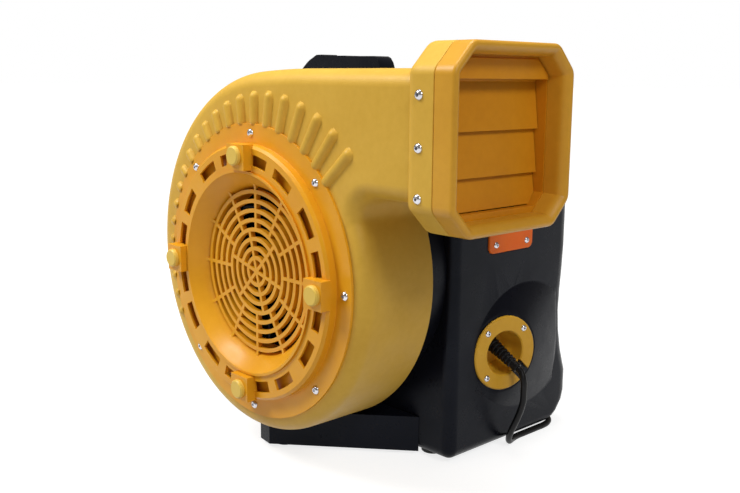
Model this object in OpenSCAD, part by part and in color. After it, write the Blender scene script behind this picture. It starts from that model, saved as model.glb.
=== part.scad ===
// Bouncy castle blower: a scroll fan with a motor behind it, millimetres.
// Parts are drawn round the fan axis: X is the blowing direction, Y runs from
// the inlet towards the motor, Z is up, and Y = 0 is the inlet flange's face.
// place() then stands the blower on Z = 0, centred on its own box.

/* [Scroll housing] */
// Scroll radius at its tongue, front half
scroll_r = 184; // [178:1:190]
// How much the scroll radius grows up to the top
scroll_growth = 44; // [36:1:50]
// Scroll radius at its tongue, rear half
rear_scroll_r = 158; // [154:1:160]
// Depth of the front half behind the flange face
front_depth = 108; // [100:1:120]
// Depth of both halves behind the flange face
scroll_depth = 184; // [182:1:200]
// Wall of both halves
scroll_wall = 4; // [3:0.5:5]
// Rounding of the front edge
edge_r = 18; // [12:1:20]
// Rounding of the rear edge
rear_edge_r = 10; // [6:1:12]
// Fillet between the duct and the scroll
tongue_r = 22; // [18:1:28]
// Height of the duct's underside above the fan axis
duct_low = 103; // [98:1:108]
// Length over which the top of the scroll levels out
top_ease = 85; // [60:1:110]
// How far the rear half's duct lies inside the front half's
duct_step = 5; // [4:0.5:7]

/* [Ribs] */
// Number of ribs round the inlet
rib_count = 22; // [12:1:22]
// Polar angle of the first rib
rib_first = 42; // [40:1:50]
// Angle between ribs
rib_pitch = 7.8; // [7.4:0.1:8]
// Width of a rib
rib_w = 10.5; // [8:0.5:12]
// Height of a rib over the face
rib_h = 3.5; // [2:0.5:4]
// Radius at the tip of the first rib
rib_tip_r = 223; // [218:1:224]
// Loss of tip radius from rib to rib
rib_tip_drop = 2.9; // [2.5:0.1:3.2]

/* [Inlet] */
// Outer radius of the screwed flange
flange_r = 171; // [168:1:174]
// Thickness of the flange
flange_t = 3; // [3:0.5:5]
// Radius of the flange's screw circle
flange_screw_r = 160; // [156:1:163]
// Number of flange screws
flange_screws = 8; // [6:1:12]
// Outer radius of the raised ring
ring_r = 148; // [144:1:150]
// Inner radius of the raised ring
ring_inner_r = 119; // [117:1:121]
// Height of the raised ring over the flange face
ring_h = 11.5; // [9:0.5:14]
// Radius at the inner end of the slots
slot_inner_r = 126; // [125:0.5:128]
// Radius at the outer end of the slots
slot_outer_r = 138.5; // [136:0.5:141]
// Wall of the ring and the bell mouth
bell_wall = 3; // [2.5:0.5:3.5]
// Inner radius of the bell mouth at the grille
bell_r = 104; // [102:0.5:106]
// Inner radius of the bell mouth's throat
throat_r = 92; // [88:1:94]
// Depth of the throat's end behind the flange face
throat_depth = 30; // [26:1:34]
// Size of the square pad blocks on the ring
block_w = 32; // [28:1:36]
// Height of the pad blocks over the flange face
block_h = 22; // [19:1:25]
// Radius of the circle of pads
pad_circle_r = 135.5; // [133:0.5:138]
// Diameter of a pad
pad_d = 22; // [18:1:26]
// Height of a pad over its block
pad_h = 5; // [3:0.5:7]

/* [Grille] */
// Number of grille rings
grille_rings = 8; // [6:1:8]
// Radius of the outermost ring's middle
grille_r = 93; // [91:0.5:96]
// Distance from ring to ring
grille_pitch = 11; // [10.5:0.1:11.5]
// Width of a grille bar
bar_w = 4.6; // [3.6:0.2:5.4]
// Thickness of the grille
bar_t = 6; // [4:0.5:8]
// Depth of the grille's front behind the flange face
grille_y = 5; // [3:0.5:7]
// Number of outer spokes
spokes = 12; // [8:1:14]
// Width of a spoke
spoke_w = 4; // [3:0.5:5]

/* [Outlet] */
// Width of the outlet collar and frame
outlet_w = 181.5; // [180:0.5:190]
// Height of the outlet collar and frame
outlet_h = 182; // [180:1:186]
// Height of the outlet's underside above the fan axis
outlet_low = 74.5; // [72:0.5:76]
// Distance from the fan axis to the outlet's front
outlet_x = 305; // [300:1:320]
// Depth of the outlet frame
frame_depth = 25; // [22:1:30]
// Depth of the collar behind the frame
collar_depth = 37; // [34:1:42]
// Cut of the outlet's corners
corner_cut = 26; // [20:1:30]
// Rounding of the cut corners
corner_r = 14; // [8:1:18]
// Wall of the collar
collar_wall = 4; // [3.5:0.5:4.5]
// Width of the frame's front lip
lip_w = 12; // [11:0.5:13]
// Depth of the front lip
lip_depth = 16; // [12:1:18]
// Wall of the sleeve that the frame pushes into the collar
sleeve_wall = 3; // [2.5:0.5:3.5]

/* [Damper] */
// Distance from the outlet's front to the flap hinges
hinge_depth = 41; // [39:1:43]
// Side wall of the damper frame
damper_wall = 6; // [5:0.5:7]
// Depth of the damper frame
damper_depth = 24; // [22:1:26]
// Thickness of a flap
flap_t = 2.5; // [2:0.5:3]
// How far a flap hangs over the next one
flap_lap = 5; // [4:0.5:7]
// How far a closed flap's lower edge stands out
flap_out = 6; // [5:0.5:7]
// Gap at each end of a flap
flap_gap = 1; // [0.6:0.1:1.5]
// Diameter of a hinge pin
hinge_pin_d = 4; // [3:0.5:5]
// Clearance round a turning pin, on the radius
run_clear = 0.05; // [0.02:0.01:0.09]

/* [Impeller] */
// Outer radius of the impeller
impeller_r = 125; // [118:1:128]
// Inner radius of the blades
blade_inner_r = 74; // [68:1:80]
// Depth of the impeller's front behind the flange face
impeller_y = 36; // [35:1:40]
// Width of the impeller
impeller_w = 88; // [80:1:90]
// Number of blades
blades = 12; // [8:1:16]
// Thickness of a blade
blade_t = 3; // [2:0.5:4]
// How far a blade leans back from its inner to its outer end
blade_lean = 38; // [25:1:50]
// Radius of the hub
hub_r = 24; // [20:1:28]

/* [Motor] */
// Radius of the shaft
shaft_r = 7.5; // [7:0.5:9]
// Radius of the stator can
motor_r = 78; // [72:1:82]
// Wall of the stator can
motor_wall = 24; // [20:1:26]
// Depth of the motor cover that the stator can leaves free
stator_free = 145; // [141:1:157]
// Length of an end bell
bell_len = 18; // [16:1:20]
// Number of cooling fins
fins = 32; // [20:1:40]
// Height of a fin
fin_h = 5; // [3:0.5:7]
// Radius of a bearing
bearing_r = 17.5; // [16:0.5:20]
// Width of a bearing
bearing_w = 11; // [9:1:13]
// Radius of the cooling fan
fan_r = 62; // [56:1:66]
// Radius of the capacitor
capacitor_r = 20; // [17:1:23]
// Length of the capacitor
capacitor_len = 82; // [70:1:90]

/* [Motor cover] */
// Width of the cover
cover_w = 340; // [334:1:346]
// How far the cover reaches forward over the rear half
cover_lap = 27; // [24:1:32]
// Depth of the cover from its front edge to its deepest point
cover_depth = 241; // [236:1:252]
// Depth of the wave in the back
cover_wave = 19; // [0:1:22]
// Height of the cover's top above the fan axis
cover_top = 200; // [194:1:204]
// Depth of the cover's floor below the fan axis
cover_low = 226; // [222:1:230]
// Wall of the cover
cover_wall = 3.5; // [3:0.5:4]
// Rounding of the cover's upright edges
cover_r = 25; // [18:1:30]
// Rounding of the cover's top and bottom edges
cover_edge_r = 14; // [8:1:18]
// Number of vent slots in the back
vents = 9; // [5:1:11]
// Height of a vent slot
vent_h = 6; // [4:1:8]
// Width of the vent field
vent_w = 150; // [120:1:170]

/* [Feet] */
// Height of a rubber foot
foot_h = 5; // [4:0.5:8]
// Radius of a rubber foot
foot_r = 14; // [11:1:16]
// Width of the cradle under the scroll, at the cover
cradle_w = 240; // [220:1:260]
// Depth of the cradle's nose behind the flange face
cradle_front = 36; // [32:1:44]

/* [Handle] */
// Length of the handle over its feet
handle_len = 146; // [140:1:152]
// Distance from the handle's middle to the back of the scroll
handle_back = 34; // [32:1:38]
// Depth of the grip
handle_t = 24; // [20:1:28]
// Height of the handle's top above the fan axis
handle_top = 250; // [247:1:256]
// Thickness of the grip
grip_h = 17; // [14:1:18]
// Length of the finger gap
gap_len = 96; // [92:1:98]
// Depth of the finger pocket below the rear half's top
pocket_depth = 22; // [18:1:24]

/* [Side plate] */
// Length of the plate
plate_len = 82; // [76:1:90]
// Height of the plate
plate_h = 40; // [34:1:44]
// Thickness of the plate
plate_t = 3; // [2.5:0.5:4]
// Distance from the plate's middle to the cover's front edge
plate_back = 101; // [95:1:105]
// Height of the plate's lower edge above the fan axis
plate_low = 18; // [12:1:22]
// Rounding of the plate's corners
plate_r = 8; // [5:1:10]
// Depth of the recess that the plate sits in
plate_sink = 1; // [0.5:0.5:1.5]
// Gap round the plate in its recess
plate_gap = 1; // [0.5:0.5:1.5]

/* [Cord cup] */
// Outer radius of the cup's flange
cup_r = 46; // [44:1:48]
// Radius of the cup's mouth
cup_mouth_r = 27; // [25:1:28]
// Depth of the cup
cup_depth = 32; // [30:1:34]
// Wall of the cup
cup_wall = 2.5; // [2:0.5:3]
// Thickness of the cup's flange
cup_flange_t = 3.5; // [3:0.5:4.5]
// Radius of the cup's screw circle
cup_screw_r = 39; // [37:0.5:40]
// Turn of the cup towards the inlet side
cup_tilt = 11.5; // [8:0.5:14]
// Radius at the foot of the boss under the cup
boss_foot_r = 113; // [90:1:118]
// Width of the notch for the cord in the cup's flange
notch_w = 18; // [14:1:20]

/* [Cord] */
// Diameter of the cord
cord_d = 8; // [7:0.5:8]
// Radius of the coil's outer turns
coil_r = 54; // [52:1:56]
// Turns in one layer of the coil
layer_turns = 2; // [2:1:3]
// Layers of the coil
coil_layers = 4; // [2:2:4]
// Distance from turn to turn and from layer to layer
coil_pitch = 8.6; // [8.5:0.1:9]
// Radius of the plug's body
plug_r = 18; // [16:1:19]
// Length of the plug's body
plug_len = 28; // [24:1:32]
// Radius of a plug pin
plug_pin_r = 2.4; // [2:0.1:2.4]
// Length of a plug pin
plug_pin_len = 19; // [17:1:20]
// Distance between the plug pins
plug_pin_gap = 19; // [17:1:20]

/* [Screws] */
// Radius of a housing screw's head
head_r = 5; // [4:0.5:6]
// Height of a housing screw's head
head_h = 3; // [2:0.5:4]
// Radius of a housing screw's shank
shank_r = 2.5; // [2:0.5:2.5]
// Length of a housing screw's shank
shank_len = 12; // [10:1:14]
// Radius of a small screw's head
small_head_r = 4; // [3:0.5:4.5]
// Radius of a small screw's shank
small_shank_r = 1.8; // [1.5:0.1:2]
// Length of a small screw's shank
small_shank_len = 9; // [8:1:11]

/* [Hidden] */
$fn = 96;
// Overrun of every cut
over = 2;
// Gap between seated pieces
seat = 0.3;
// Clearance of a screw in its hole, on the radius
hole_clear = 0.25;
// Colours as the photograph shows them
yellow = [0.84, 0.66, 0.27];
inlet_yellow = [0.88, 0.62, 0.16];
pad_yellow = [0.88, 0.76, 0.38];
flap_yellow = [0.66, 0.46, 0.11];
orange = [0.9, 0.4, 0.13];
black = [0.07, 0.07, 0.09];
rubber = [0.05, 0.05, 0.05];
steel = [0.7, 0.7, 0.72];
casting = [0.55, 0.56, 0.58];

// Front face of the scroll, behind the flange
face_y = flange_t;
// Top of the duct and angle of the tongue for a scroll radius, growth and duct underside
function tongue_a(r, low) = asin((low - tongue_r) / (r + tongue_r));
function sweep(r, low) = tongue_a(r, low) + 270;
function top_slope(r, g, low) = 2 * g / ((r + g) * sweep(r, low) * PI / 180);
function duct_top(r, g, low) = r + g + top_slope(r, g, low) * top_ease / 2;
function spiral(t, r, g, low) = let (a = tongue_a(r, low) - t * sweep(r, low), s = r + g * t * t)
    [s * cos(a), s * sin(a)];
// Steps of the outline's curves
spiral_steps = 60;
fillet_steps = 5;
ease_steps = 5;
edge_steps = 4;
// Outline of a scroll half from the duct's underside round to the duct's top
function outline(r, g, low, end_x) =
    let (a = tongue_a(r, low), top = duct_top(r, g, low), k = top_slope(r, g, low))
    concat([[end_x, low]],
        [for (i = [0:fillet_steps]) let (b = 90 + (90 + a) * i / fillet_steps)
            [(r + tongue_r) * cos(a) + tongue_r * cos(b), low - tongue_r + tongue_r * sin(b)]],
        [for (i = [1:spiral_steps]) spiral(i / spiral_steps, r, g, low)],
        [for (i = [1:ease_steps]) let (x = top_ease * i / ease_steps)
            [x, r + g + k * x - k * x * x / (2 * top_ease)]],
        [[end_x, top]]);
// Inward normal at point i of an open outline, and the outline moved inwards
function unit(v) = v / norm(v);
function normal(p, i) =
    let (d = unit(p[min(i + 1, len(p) - 1)] - p[max(i - 1, 0)])) [d[1], -d[0]];
function inset(p, d) = [for (i = [0:len(p) - 1]) p[i] + d * normal(p, i)];
// Levels of a rounded edge: [depth, inset] from the face to the side
function edge_levels(y, dir, r, base) = [for (j = [0:edge_steps]) let (a = 90 * j / edge_steps)
    [y + dir * r * (1 - cos(a)), base + r * (1 - sin(a))]];
function reversed(v) = [for (i = [len(v) - 1:-1:0]) v[i]];
// Closed solid through an outline at several levels; its end faces fan out from the top of the
// spiral, which every other point can be seen from
spiral_end = fillet_steps + spiral_steps + 1;
module loft(p, levels) {
    n = len(p);
    k = len(levels);
    points = [for (l = levels) for (q = inset(p, l[1])) [q[0], l[0], q[1]]];
    sides = [for (j = [0:k - 2]) for (i = [0:n - 1]) let (a = j * n + i, b = j * n + (i + 1) % n)
        each [[a, a + n, b + n], [a, b + n, b]]];
    polyhedron(points, concat([[for (i = [0:n - 1]) (spiral_end + i) % n]], sides,
        [[for (i = [n:-1:1]) (k - 1) * n + (spiral_end + i) % n]]));
}
// Extrusion of an X-Z outline from y0 to y1, and of a Y-Z outline from x0 to x1
module along_y(y0, y1) {
    translate([0, y1, 0]) rotate([90, 0, 0]) linear_extrude(y1 - y0) children();
}
module along_x(x0, x1) {
    translate([x0, 0, 0]) rotate([90, 0, 90]) linear_extrude(x1 - x0) children();
}
module turned_y(y, a = 0) {
    translate([0, y, 0]) rotate([0, -a, 0]) rotate([-90, 0, 0]) children();
}
module slab(low, high) {
    translate(low) cube(high - low);
}

cover_front = scroll_depth - cover_lap;
cover_back = cover_front + cover_depth;
stator_len = cover_depth - stator_free;
handle_y = scroll_depth - handle_back;
plate_y = cover_front + plate_back;
rear_low = duct_low + duct_step;
front_growth = scroll_growth;
rear_growth = scroll_r + scroll_growth - duct_step - rear_scroll_r;
frame_x = outlet_x - frame_depth;
collar_x = frame_x - collar_depth;
end_x = collar_x + collar_wall + over;
front_line = outline(scroll_r, front_growth, duct_low, end_x);
rear_line = outline(rear_scroll_r, rear_growth, rear_low, end_x);
duct_high = duct_top(scroll_r, front_growth, duct_low);
rear_high = duct_top(rear_scroll_r, rear_growth, rear_low);
scroll_left = max([for (p = front_line) -p[0]]);
pad_front = block_h + pad_h;

// Standing place of the fan axis
fan_at = [-(outlet_x - scroll_left) / 2, -(cover_back + head_h - pad_front) / 2,
    cover_low + foot_h];
module place() {
    translate(fan_at) children();
}

// Screw with its seat at Z = 0 and its head above it
module screw(r, h, sr, sl) {
    flat_r = 0.55 * r;
    rotate_extrude() polygon([[0, -sl], [sr, -sl], [sr, 0], [r, 0], [r, h / 2], [flat_r, h],
        [0, h]]);
}
module housing_screw() {
    screw(head_r, head_h, shank_r, shank_len);
}
module small_screw() {
    screw(small_head_r, head_h, small_shank_r, small_shank_len);
}

// Outline of the outlet, drawn in by d, as an eight-cornered frame with round corners
corner_steps = 3;
outlet_mid_z = outlet_low + outlet_h / 2;
function frame_line(d) =
    let (w = outlet_w / 2 - corner_r, h = outlet_h / 2 - corner_r, r = corner_r - min(d, corner_r),
        c = (corner_cut + corner_r * (sqrt(2) - 2)), e = max(d - corner_r, 0),
        k = e * (2 - sqrt(2)), a = w - e, b = h - e, m = c - k,
        q = [[a, -b + m], [a, b - m], [a - m, b], [-a + m, b], [-a, b - m], [-a, -b + m],
            [-a + m, -b], [a - m, -b]])
    [for (i = [0:7]) for (j = [0:r > 0 ? corner_steps : 0])
        let (t = -45 + 45 * (i + (r > 0 ? j / corner_steps : 0)))
        [outlet_w / 2 + q[i][0] + r * cos(t), outlet_mid_z + q[i][1] + r * sin(t)]];
module outlet_solid(x0, x1, d) {
    along_x(x0, x1) polygon(frame_line(d));
}
collar_chamfer = 5;
module collar() {
    difference() {
        union() {
            outlet_solid(collar_x, frame_x, collar_chamfer);
            outlet_solid(collar_x + collar_chamfer / 2, frame_x, collar_chamfer / 2);
            outlet_solid(collar_x + collar_chamfer, frame_x, 0);
        }
        outlet_solid(collar_x + collar_wall, frame_x + over, collar_wall);
    }
}
// Screws through the collar's sides: heights and turn
collar_screw_x = frame_x - collar_depth / 2;
collar_screw_shares = [0.2, 0.46, 0.727];
module collar_screw_places(y_shift = 0) {
    for (s = collar_screw_shares) {
        translate([collar_screw_x, y_shift, outlet_low + s * outlet_h]) rotate([90, 0, 0])
            children();
        translate([collar_screw_x, outlet_w - y_shift, outlet_low + s * outlet_h])
            rotate([-90, 0, 0]) children();
    }
}
// Holes for the collar's screws
module collar_holes(r) {
    hole_len = shank_len + 2 * over;
    collar_screw_places() translate([0, 0, over - hole_len]) cylinder(h = hole_len, r = r);
}
// The duct's way through the collar's back wall
duct_back = outlet_w - scroll_wall;
module duct_way() {
    way_in = scroll_wall + seat;
    slab([collar_x - over, face_y + way_in, rear_low + way_in],
        [collar_x + collar_wall + over, duct_back, rear_high - way_in]);
}
// Rib with a round tip, proud of the scroll's face
rib_round = (rib_w * rib_w / 4 + rib_h * rib_h) / (2 * rib_h);
module rib(angle, tip) {
    start = flange_r + seat;
    tip_steps = 6;
    turned_rib = [for (j = [0:tip_steps]) let (a = 90 * j / tip_steps)
        [rib_round * cos(a), tip - rib_round + rib_round * sin(a)]];
    rotate([0, -angle, 0]) translate([0, face_y + rib_round - rib_h, 0]) rotate([0, 90, 0])
        rotate_extrude() polygon(concat([[0, start], [rib_round, start]], turned_rib));
}
// Screw boss behind the scroll's face
boss_r = 7;
boss_len = 14;
module flange_places() {
    for (i = [0:flange_screws - 1])
        rotate([0, -360 * i / flange_screws, 0]) translate([flange_screw_r, 0, 0]) children();
}
module front_scroll() {
    levels = concat(edge_levels(face_y, 1, edge_r, 0), [[front_depth, 0]]);
    hollow = concat(edge_levels(face_y + scroll_wall, 1, edge_r - scroll_wall, scroll_wall),
        [[front_depth + over, scroll_wall]]);
    mouth_r = ring_r - bell_wall;
    color(yellow) place() difference() {
        union() {
            difference() {
                union() {
                    loft(front_line, levels);
                    for (i = [0:rib_count - 1])
                        rib(rib_first + rib_pitch * i,
                            max(rib_tip_r - rib_tip_drop * i, flange_r + rib_w / 2 + 2 * over));
                }
                loft(front_line, hollow);
            }
            along_y(front_depth - scroll_wall, front_depth) difference() {
                polygon(inset(front_line, scroll_wall / 2));
                polygon(inset(rear_line, scroll_wall));
            }
            flange_places() turned_y(face_y + scroll_wall / 2)
                cylinder(h = boss_len - scroll_wall / 2, r = boss_r);
            intersection() {
                collar();
                slab([collar_x - over, -over, 0], [frame_x + over, front_depth, 2 * outlet_h]);
            }
        }
        turned_y(-over) cylinder(h = face_y + scroll_wall + 2 * over, r = mouth_r);
        flange_places() turned_y(0) cylinder(h = boss_len, r = shank_r + hole_clear);
        duct_way();
        collar_holes(shank_r + hole_clear);
    }
}
// Middle of the handle, a little to the left of the fan axis
handle_mid = -7;
// Finger pocket in the rear half's top
module pocket(grow) {
    slab([handle_mid - gap_len / 2 - grow, front_depth + scroll_wall - grow,
        rear_high - pocket_depth - grow],
        [handle_mid + gap_len / 2 + grow, scroll_depth + over, rear_high + over]);
}
motor_y = scroll_depth;
motor_screw_r = motor_r - head_r;
motor_screws_n = 4;
cover_post_r = 7;
cover_h = cover_top + cover_low;
// Places of the four posts that carry the cover: [x, z, depth of the front end]
post_x = cover_w / 2 - 2 * cover_r;
post_low_share = 0.1225;
post_high_share = 0.86;
post_feet = [[post_x, post_low_share, cover_front + cover_wall + seat],
    [post_x, post_high_share, scroll_depth]];
module post_places(y = [0, 0]) {
    for (i = [0, 1]) for (s = [-1, 1])
        translate([s * post_feet[i][0], y[i], post_feet[i][1] * cover_h - cover_low]) children();
}
module motor_screw_places() {
    for (i = [0:motor_screws_n - 1])
        rotate([0, -45 - 90 * i, 0]) translate([motor_screw_r, 0, 0]) children();
}
module rear_scroll() {
    levels = concat([[front_depth, 0]], reversed(edge_levels(scroll_depth, -1, rear_edge_r, 0)));
    hollow = concat([[front_depth - over, scroll_wall]],
        reversed(edge_levels(scroll_depth - scroll_wall, -1, rear_edge_r - scroll_wall,
            scroll_wall)));
    color(black) place() difference() {
        union() {
            difference() {
                difference() {
                    loft(rear_line, levels);
                    pocket(0);
                }
                difference() {
                    loft(rear_line, hollow);
                    pocket(scroll_wall);
                }
            }
            intersection() {
                collar();
                slab([collar_x - over, front_depth, 0],
                    [frame_x + over, outlet_w + over, 2 * outlet_h]);
            }
        }
        duct_way();
        collar_holes(shank_r + hole_clear);
        handle_holes();
        turned_y(scroll_depth - scroll_wall - over)
            cylinder(h = scroll_wall + 2 * over, r = bearing_r);
        motor_screw_places() turned_y(scroll_depth - scroll_wall - over)
            cylinder(h = scroll_wall + 2 * over, r = shank_r + hole_clear);
    }
}

// Slots between the pad blocks, as angles from each block in shares of a quarter turn
slot_from_shares = [0.078, 0.28, 0.56, 0.79];
slot_to_shares = [0.21, 0.44, 0.72, 0.922];
bell_lip = 2.5;
grille_seat = bar_t / 2;
// Height and radius shares of the bell mouth from the ring's lip to the throat's end
bell_depth_shares = [0, 0.08, 0.2, 0.4, 0.7, 1];
bell_in_shares = [0, 0.1, 0.32, 0.62, 0.9, 1];
function bell_points(d) = [for (i = [0:len(bell_depth_shares) - 1])
    [ring_inner_r - bell_wall + d - bell_in_shares[i] * (ring_inner_r - bell_wall - throat_r),
        -ring_h - bell_lip + bell_depth_shares[i] * (ring_h + bell_lip + throat_depth)]];
module inlet_ring() {
    color(inlet_yellow) place() difference() {
        union() {
            turned_y(0) difference() {
                cylinder(h = flange_t, r = flange_r);
                translate([0, 0, -over]) cylinder(h = flange_t + 2 * over, r = ring_r - bell_wall);
            }
            turned_y(0) rotate_extrude() difference() {
                polygon([[ring_r, flange_t], [ring_r, -ring_h + bell_wall],
                    [ring_r - bell_wall, -ring_h], [ring_inner_r - bell_wall, -ring_h],
                    [ring_inner_r - bell_wall, flange_t]]);
                polygon([[ring_r - bell_wall, flange_t + over],
                    [ring_r - bell_wall, bell_wall - ring_h], [ring_inner_r, bell_wall - ring_h],
                    [ring_inner_r, flange_t + over]]);
            }
            turned_y(0) rotate_extrude()
                polygon(concat(bell_points(0), reversed(bell_points(bell_wall))));
            for (i = [0:3]) rotate([0, -90 * i, 0])
                slab([pad_circle_r - block_w / 2, -block_h, -block_w / 2],
                    [pad_circle_r + block_w / 2 - bell_wall, bell_wall - ring_h, block_w / 2]);
        }
        for (i = [0:3]) for (j = [0:3]) let (a = 90 * (i + slot_from_shares[j]))
            turned_y(0, a) rotate_extrude(angle = -90 * (slot_to_shares[j] - slot_from_shares[j]))
                translate([slot_inner_r, -ring_h - over])
                square([slot_outer_r - slot_inner_r, bell_wall + 2 * over]);
        flange_places() turned_y(-over) cylinder(h = flange_t + 2 * over, r = shank_r + hole_clear);
    }
}
module inlet_grille() {
    spoke_in = grille_r - 4 * grille_pitch;
    color(inlet_yellow) place() turned_y(grille_y) linear_extrude(bar_t) {
        circle(r = bar_w);
        for (i = [0:grille_rings - 1]) let (r = grille_r - i * grille_pitch) difference() {
            circle(r = r + bar_w / 2);
            circle(r = r - bar_w / 2);
        }
        for (i = [0:spokes - 1]) rotate(360 * i / spokes)
            translate([spoke_in, -spoke_w / 2]) square([grille_reach - spoke_in, spoke_w]);
        for (i = [0:spokes / 2 - 1]) rotate(720 * (i + 0.25) / spokes)
            translate([bar_w / 2, -spoke_w / 2]) square([spoke_in - bar_w / 2, spoke_w]);
    }
}
// Spoke tips end a seat's gap inside the bell mouth
bell_at = [for (p = bell_points(0)) p];
function bell_radius(y, i = 0) = y <= bell_at[i + 1][1] ?
    bell_at[i][0] + (bell_at[i + 1][0] - bell_at[i][0]) * (y - bell_at[i][1])
        / (bell_at[i + 1][1] - bell_at[i][1]) : bell_radius(y, i + 1);
grille_reach = bell_radius(grille_y + bar_t) - seat;
module ring_pads() {
    pad_chamfer = 1.5;
    color(pad_yellow) place() for (i = [0:3]) rotate([0, -90 * i, 0])
        translate([pad_circle_r, 0, 0]) turned_y(-pad_front) rotate_extrude()
        polygon([[0, 0], [pad_d / 2 - pad_chamfer, 0], [pad_d / 2, pad_chamfer],
            [pad_d / 2, pad_h], [0, pad_h]]);
}
module flange_screws() {
    color(steel) place() flange_places() rotate([90, 0, 0]) housing_screw();
}

// Outlet frame with a front lip, a wider throat behind it and a sleeve in the collar
lip_chamfer = 4;
sleeve_in = collar_wall + seat;
module outlet_frame() {
    sleeve_x = end_x + seat;
    color(yellow) place() difference() {
        union() {
            outlet_solid(frame_x, outlet_x - lip_chamfer, 0);
            outlet_solid(outlet_x - lip_chamfer - over, outlet_x - lip_chamfer / 2,
                lip_chamfer / 3);
            outlet_solid(outlet_x - lip_chamfer - over, outlet_x, lip_chamfer);
            outlet_solid(sleeve_x, frame_x + over, sleeve_in);
        }
        outlet_solid(outlet_x - lip_depth - over, outlet_x + over, lip_w);
        outlet_solid(sleeve_x - over, outlet_x - lip_depth, sleeve_in + sleeve_wall);
        collar_holes(shank_r + hole_clear);
    }
}
// Damper frame inside the throat: place, window and flap lines
damper_out = sleeve_in + sleeve_wall + seat;
damper_in = damper_out + damper_wall;
hinge_x = outlet_x - hinge_depth;
damper_x0 = hinge_x - 2 * hinge_pin_d;
damper_x1 = damper_x0 + damper_depth;
window_low = outlet_low + damper_in;
window_h = outlet_h - 2 * damper_in;
flap_low_shares = [0.54, 0.25, 0.04];
header_share = 0.9;
flap_low = [for (s = flap_low_shares) window_low + s * window_h];
// Hinge heights: the top one below the header, the others behind the flap above
hinge_z = [window_low + header_share * window_h - 1.5 * hinge_pin_d, flap_low[0] + flap_lap,
    flap_low[1] + flap_lap];
module damper_frame() {
    sill_h = flap_low_shares[2] * window_h - flap_gap;
    rail_t = 4;
    color(flap_yellow) place() difference() {
        union() {
            difference() {
                outlet_solid(damper_x0, damper_x1, damper_out);
                outlet_solid(damper_x0 - over, damper_x1 + over, damper_in);
            }
            intersection() {
                outlet_solid(damper_x0, damper_x1, damper_out + seat);
                union() {
                    slab([damper_x1 - rail_t, 0, window_low + header_share * window_h],
                        [damper_x1, outlet_w, outlet_low + outlet_h]);
                    slab([hinge_x + flap_out, 0, outlet_low],
                        [damper_x1, outlet_w, window_low + sill_h]);
                }
            }
        }
        for (z = hinge_z) translate([hinge_x, 0, z]) rotate([-90, 0, 0])
            cylinder(h = outlet_w, r = hinge_pin_d / 2 + run_clear);
        collar_holes(shank_r + hole_clear);
    }
}
// Flap i with its hinge barrel and two end pins; low corners cut on the bottom one
module flap(i) {
    drop = hinge_z[i] - flap_low[i];
    span = outlet_w - 2 * damper_in - 2 * flap_gap;
    barrel_r = hinge_pin_d / 2 + flap_t / 4;
    tilt = atan(flap_out / drop);
    pin_len = span + 2 * (damper_wall - flap_gap);
    plate = norm([drop, flap_out]);
    cut = i == 2 ? corner_cut - damper_in * (2 - sqrt(2)) - flap_low[2] + window_low : 0;
    color(flap_yellow) place() translate([hinge_x, outlet_w / 2, hinge_z[i]]) {
        rotate([-90, 0, 0]) cylinder(h = span - 2 * seat, r = barrel_r, center = true);
        rotate([-90, 0, 0]) cylinder(h = pin_len, r = hinge_pin_d / 2, center = true);
        rotate([0, -tilt, 0]) rotate([90, 0, 90]) translate([0, 0, -flap_t / 2])
            linear_extrude(flap_t) polygon([[-span / 2, 0], [-span / 2, cut - plate],
            [cut - span / 2, -plate], [span / 2 - cut, -plate], [span / 2, cut - plate],
            [span / 2, 0]]);
    }
}
module flap_top() flap(0);
module flap_middle() flap(1);
module flap_bottom() flap(2);
module outlet_screws() {
    color(steel) place() collar_screw_places() housing_screw();
}

// Impeller: back plate, backward-leaning blades, front shroud and hub
plate_y1 = impeller_y + impeller_w;
impeller_t = 4;
shroud_rise = 12;
function blade_at(s) = let (r = blade_inner_r + s * (impeller_r - impeller_t - blade_inner_r),
    a = -blade_lean * s) r * [cos(a), sin(a)];
module impeller() {
    blade_steps = 8;
    hub_len = 34;
    mid = [for (i = [0:blade_steps]) blade_at(i / blade_steps)];
    color(black) place() turned_y(impeller_y) difference() {
        union() {
            translate([0, 0, impeller_w - impeller_t]) cylinder(h = impeller_t, r = impeller_r);
            translate([0, 0, impeller_w - hub_len]) cylinder(h = hub_len, r = hub_r);
            rotate_extrude() polygon([[throat_r + impeller_t, 0], [impeller_r, shroud_rise],
                [impeller_r, shroud_rise + impeller_t], [throat_r + impeller_t, impeller_t]]);
            difference() {
                for (i = [0:blades - 1]) rotate([0, 0, 360 * i / blades])
                    linear_extrude(impeller_w - impeller_t / 2) polygon(concat(
                        inset(mid, blade_t / 2), reversed(inset(mid, -blade_t / 2))));
                translate([0, 0, -over]) rotate_extrude() polygon([[0, 0], [2 * impeller_r, 0],
                    [2 * impeller_r, over + shroud_rise + impeller_t / 2],
                    [impeller_r, over + shroud_rise + impeller_t / 2],
                    [throat_r + impeller_t, over + impeller_t / 2],
                    [blade_inner_r, over + shroud_rise + impeller_t], [0, impeller_w]]);
            }
        }
        translate([0, 0, -over]) cylinder(h = impeller_w + 2 * over, r = shaft_r + run_clear);
    }
}
shaft_start = plate_y1 - impeller_w / 2;
stator_y = motor_y + bell_len;
rear_bell_y = stator_y + stator_len;
fan_y = rear_bell_y + bell_len + 2 * seat;
fan_w = 20;
module motor_shaft() {
    color(steel) place() turned_y(shaft_start)
        cylinder(h = fan_y + fan_w - shaft_start, r = shaft_r);
}
core_gap = 1;
module rotor_core() {
    color(casting) place() turned_y(stator_y + bell_len / 2) difference() {
        cylinder(h = stator_len - bell_len, r = motor_r - motor_wall - core_gap);
        translate([0, 0, -over]) cylinder(h = stator_len, r = shaft_r + run_clear);
    }
}
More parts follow.
